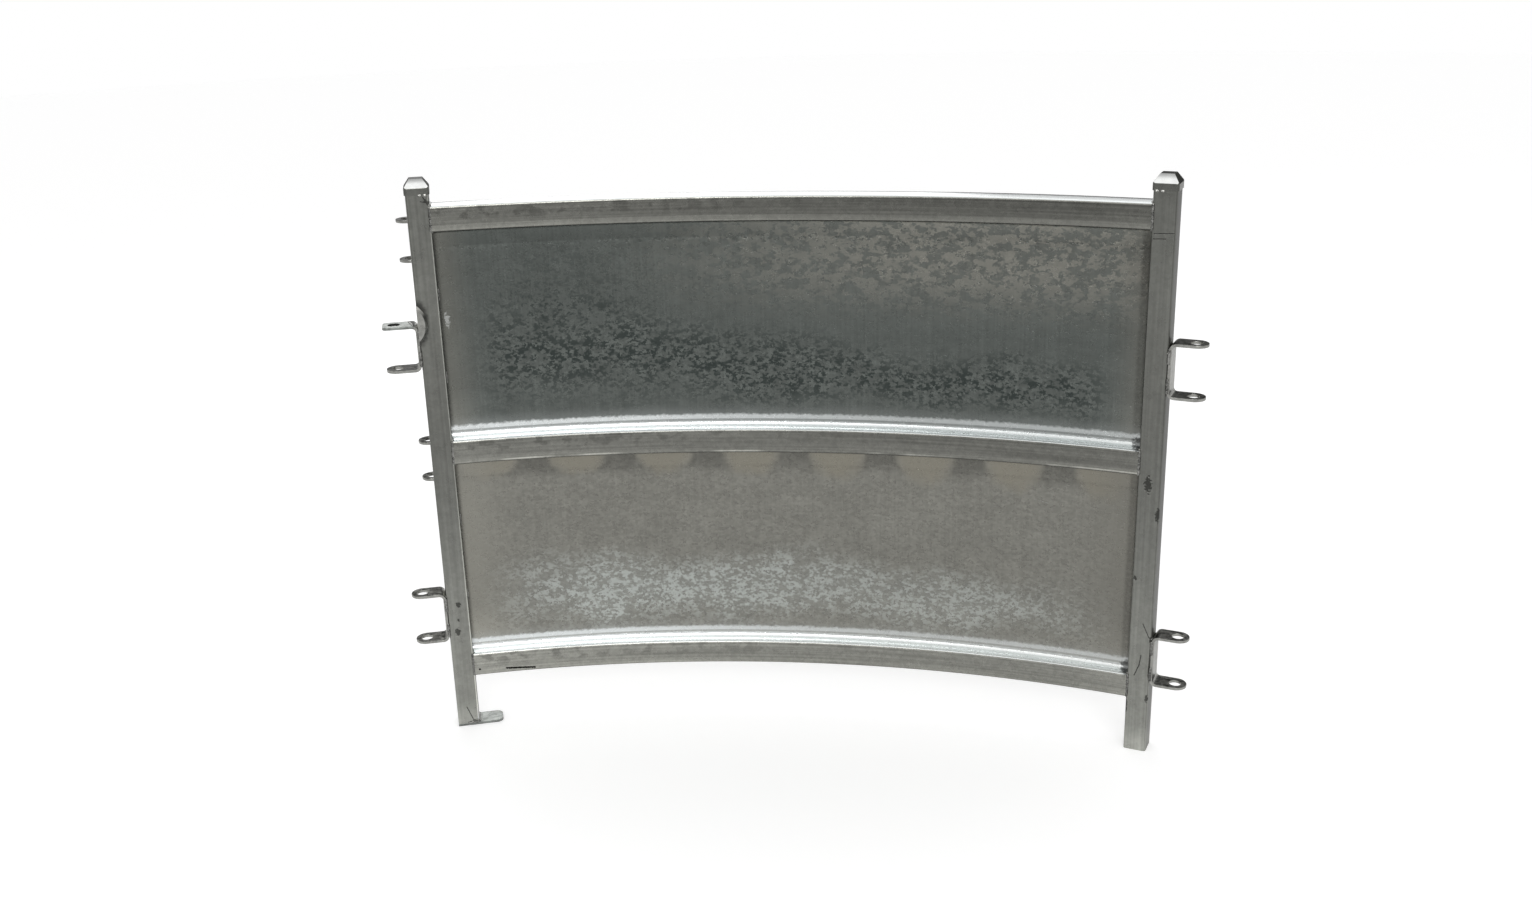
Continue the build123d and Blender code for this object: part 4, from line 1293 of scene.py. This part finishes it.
class HurdleStudio(bpy.types.Operator):
    """Plain floor, soft light and the camera"""

    bl_idname = "hurdle.studio"
    bl_label = "Studio"

    def execute(self, context):
        """Set the stage."""
        stage = context.scene.hurdle_stage
        self.floor(stage)
        self.sky(stage)
        self.light("Front Light", stage.front_watts, (1.0, -5.4, 3.1), (4.0, 1.5))
        self.light("Back Light", stage.back_watts, (-1.7, 4.0, 2.0), (4.4, 1.6))
        self.camera(stage)
        context.scene.view_settings.view_transform = "Standard"
        return {"FINISHED"}

    def floor(self, stage):
        """A wide pale floor that stays white to the eye and keeps the shadow."""
        deselect()
        bpy.ops.mesh.primitive_circle_add(vertices=96, radius=14.0, fill_type="NGON", location=(0, 0, 0))
        floor = bpy.context.object
        floor.name = "floor"
        paint = bpy.data.materials.new("Pale Floor")
        paint.use_nodes = True
        tree = paint.node_tree
        shader = tree.nodes["Principled BSDF"]
        shader.inputs["Base Color"].default_value = (*stage.floor_colour, 1)
        shader.inputs["Roughness"].default_value = 0.9
        rays = tree.nodes.new("ShaderNodeLightPath")
        seen = sums(tree, "MULTIPLY", rays.outputs["Is Camera Ray"], 0.30)
        lift = put(tree, "ShaderNodeEmission", {"Strength": seen})
        total = put(tree, "ShaderNodeAddShader", {0: shader.outputs[0], 1: lift.outputs[0]})
        place = tree.nodes.new("ShaderNodeTexCoord").outputs["Object"]
        away = put(tree, "ShaderNodeSeparateXYZ", {0: place}).outputs[1]
        fade = sums(tree, "MULTIPLY", rays.outputs["Is Glossy Ray"], step_between(tree, away, -0.8, -4.0))
        fade = sums(tree, "MULTIPLY", fade, 0.45)
        dim = put(tree, "ShaderNodeEmission", {"Color": (0.10, 0.105, 0.10, 1)})
        total = put(tree, "ShaderNodeMixShader", {0: fade, 1: total.outputs[0], 2: dim.outputs[0]})
        tree.links.new(total.outputs[0], tree.nodes["Material Output"].inputs["Surface"])
        floor.data.materials.append(paint)

    def sky(self, stage):
        """A plain soft sky."""
        world = bpy.data.worlds.new("Soft Sky")
        bpy.context.scene.world = world
        world.use_nodes = True
        tree = world.node_tree
        background = tree.nodes["Background"]
        background.inputs["Color"].default_value = (1, 1, 1, 1)
        rays = tree.nodes.new("ShaderNodeLightPath")
        towards = tree.nodes.new("ShaderNodeTexCoord").outputs["Generated"]
        across, _, up = put(tree, "ShaderNodeSeparateXYZ", {0: towards}).outputs
        mirrored = sums(tree, "ADD", 0.2, sums(tree, "MULTIPLY", step_between(tree, up, 0.0, 0.5), 1.1))
        sides = step_between(tree, sums(tree, "ABSOLUTE", across), 0.35, 0.9)
        mirrored = sums(tree, "MULTIPLY", mirrored, sums(tree, "SUBTRACT", 1.0, sums(tree, "MULTIPLY", sides, 0.6)))
        plain = put(tree, "ShaderNodeMix",
                    {0: rays.outputs["Is Glossy Ray"], 2: stage.world_strength, 3: mirrored}, data_type="FLOAT")
        strength = put(tree, "ShaderNodeMix",
                       {0: rays.outputs["Is Camera Ray"], 2: plain.outputs[0], 3: 1.0}, data_type="FLOAT")
        tree.links.new(strength.outputs[0], background.inputs["Strength"])

    def light(self, name, watts, place, size):
        """A large soft light that looks at the middle of the hurdle."""
        lamp = bpy.data.lights.new(name, "AREA")
        lamp.shape = "RECTANGLE"
        lamp.size, lamp.size_y = size
        lamp.energy = watts
        holder = bpy.data.objects.new(name, lamp)
        bpy.context.collection.objects.link(holder)
        target = CHORD + Vector((0, 0, 0.5))
        aim = (target - Vector(place)).to_track_quat("-Z", "Y")
        holder.matrix_world = Matrix.Translation(place) @ aim.to_matrix().to_4x4()

    def camera(self, stage):
        """The camera at the photograph's viewing angle."""
        yaw, pitch, roll = stage.camera_yaw, stage.camera_pitch, stage.camera_roll
        forwards = Vector((math.sin(yaw) * math.cos(pitch), math.cos(yaw) * math.cos(pitch), -math.sin(pitch)))
        level = Vector((math.cos(yaw), -math.sin(yaw), 0))
        upright = level.cross(forwards)
        right = level * math.cos(roll) + upright * math.sin(roll)
        up = upright * math.cos(roll) - level * math.sin(roll)
        lens = bpy.data.cameras.new("Camera")
        lens.sensor_fit = "HORIZONTAL"
        lens.sensor_width = 36.0
        lens.lens = stage.lens
        lens.clip_end = 100.0
        camera = bpy.data.objects.new("Camera", lens)
        bpy.context.collection.objects.link(camera)
        turn = Matrix((right, up, -forwards)).transposed().to_4x4()
        camera.matrix_world = Matrix.Translation(CHORD + Vector(stage.camera_at)) @ turn
        bpy.context.scene.camera = camera


class HurdlePanel(bpy.types.Panel):
    """Sizes, colours and steps of the hurdle"""

    bl_idname = "VIEW3D_PT_hurdle"
    bl_label = "Sheep Hurdle"
    bl_space_type = "VIEW_3D"
    bl_region_type = "UI"
    bl_category = "Hurdle"

    def draw(self, context):
        """List the properties, then the operators."""
        layout = self.layout
        for group in (context.scene.hurdle_shapes, context.scene.hurdle_finish, context.scene.hurdle_stage):
            box = layout.box()
            for name in group.bl_rna.properties.keys():
                if name not in ("rna_type", "name"):
                    box.prop(group, name)
        for operator in OPERATORS:
            layout.operator(operator.bl_idname)


OPERATORS = (
    HurdlePosts, HurdleCaps, HurdleRails, HurdleSheets, HurdleBrackets, HurdleFoot, HurdleWelds, HurdleStudio,
)
GROUP_CLASSES = {"hurdle_shapes": HurdleShapes, "hurdle_finish": HurdleFinish, "hurdle_stage": HurdleStage}


def register():
    """Add the classes and the scene's properties."""
    for name, group in GROUP_CLASSES.items():
        bpy.utils.register_class(group)
        setattr(bpy.types.Scene, name, bpy.props.PointerProperty(type=group))
    for operator in OPERATORS:
        bpy.utils.register_class(operator)
    bpy.utils.register_class(HurdlePanel)


def unregister():
    """Take them away again."""
    bpy.utils.unregister_class(HurdlePanel)
    for operator in reversed(OPERATORS):
        bpy.utils.unregister_class(operator)
    for name, group in GROUP_CLASSES.items():
        delattr(bpy.types.Scene, name)
        bpy.utils.unregister_class(group)


def main():
    """Build the hurdle and its studio."""
    register()
    bpy.ops.hurdle.posts()
    bpy.ops.hurdle.caps()
    bpy.ops.hurdle.rails()
    bpy.ops.hurdle.sheets()
    bpy.ops.hurdle.brackets()
    bpy.ops.hurdle.foot()
    bpy.ops.hurdle.welds()
    bpy.ops.hurdle.studio()


if __name__ == "__main__":
    main()
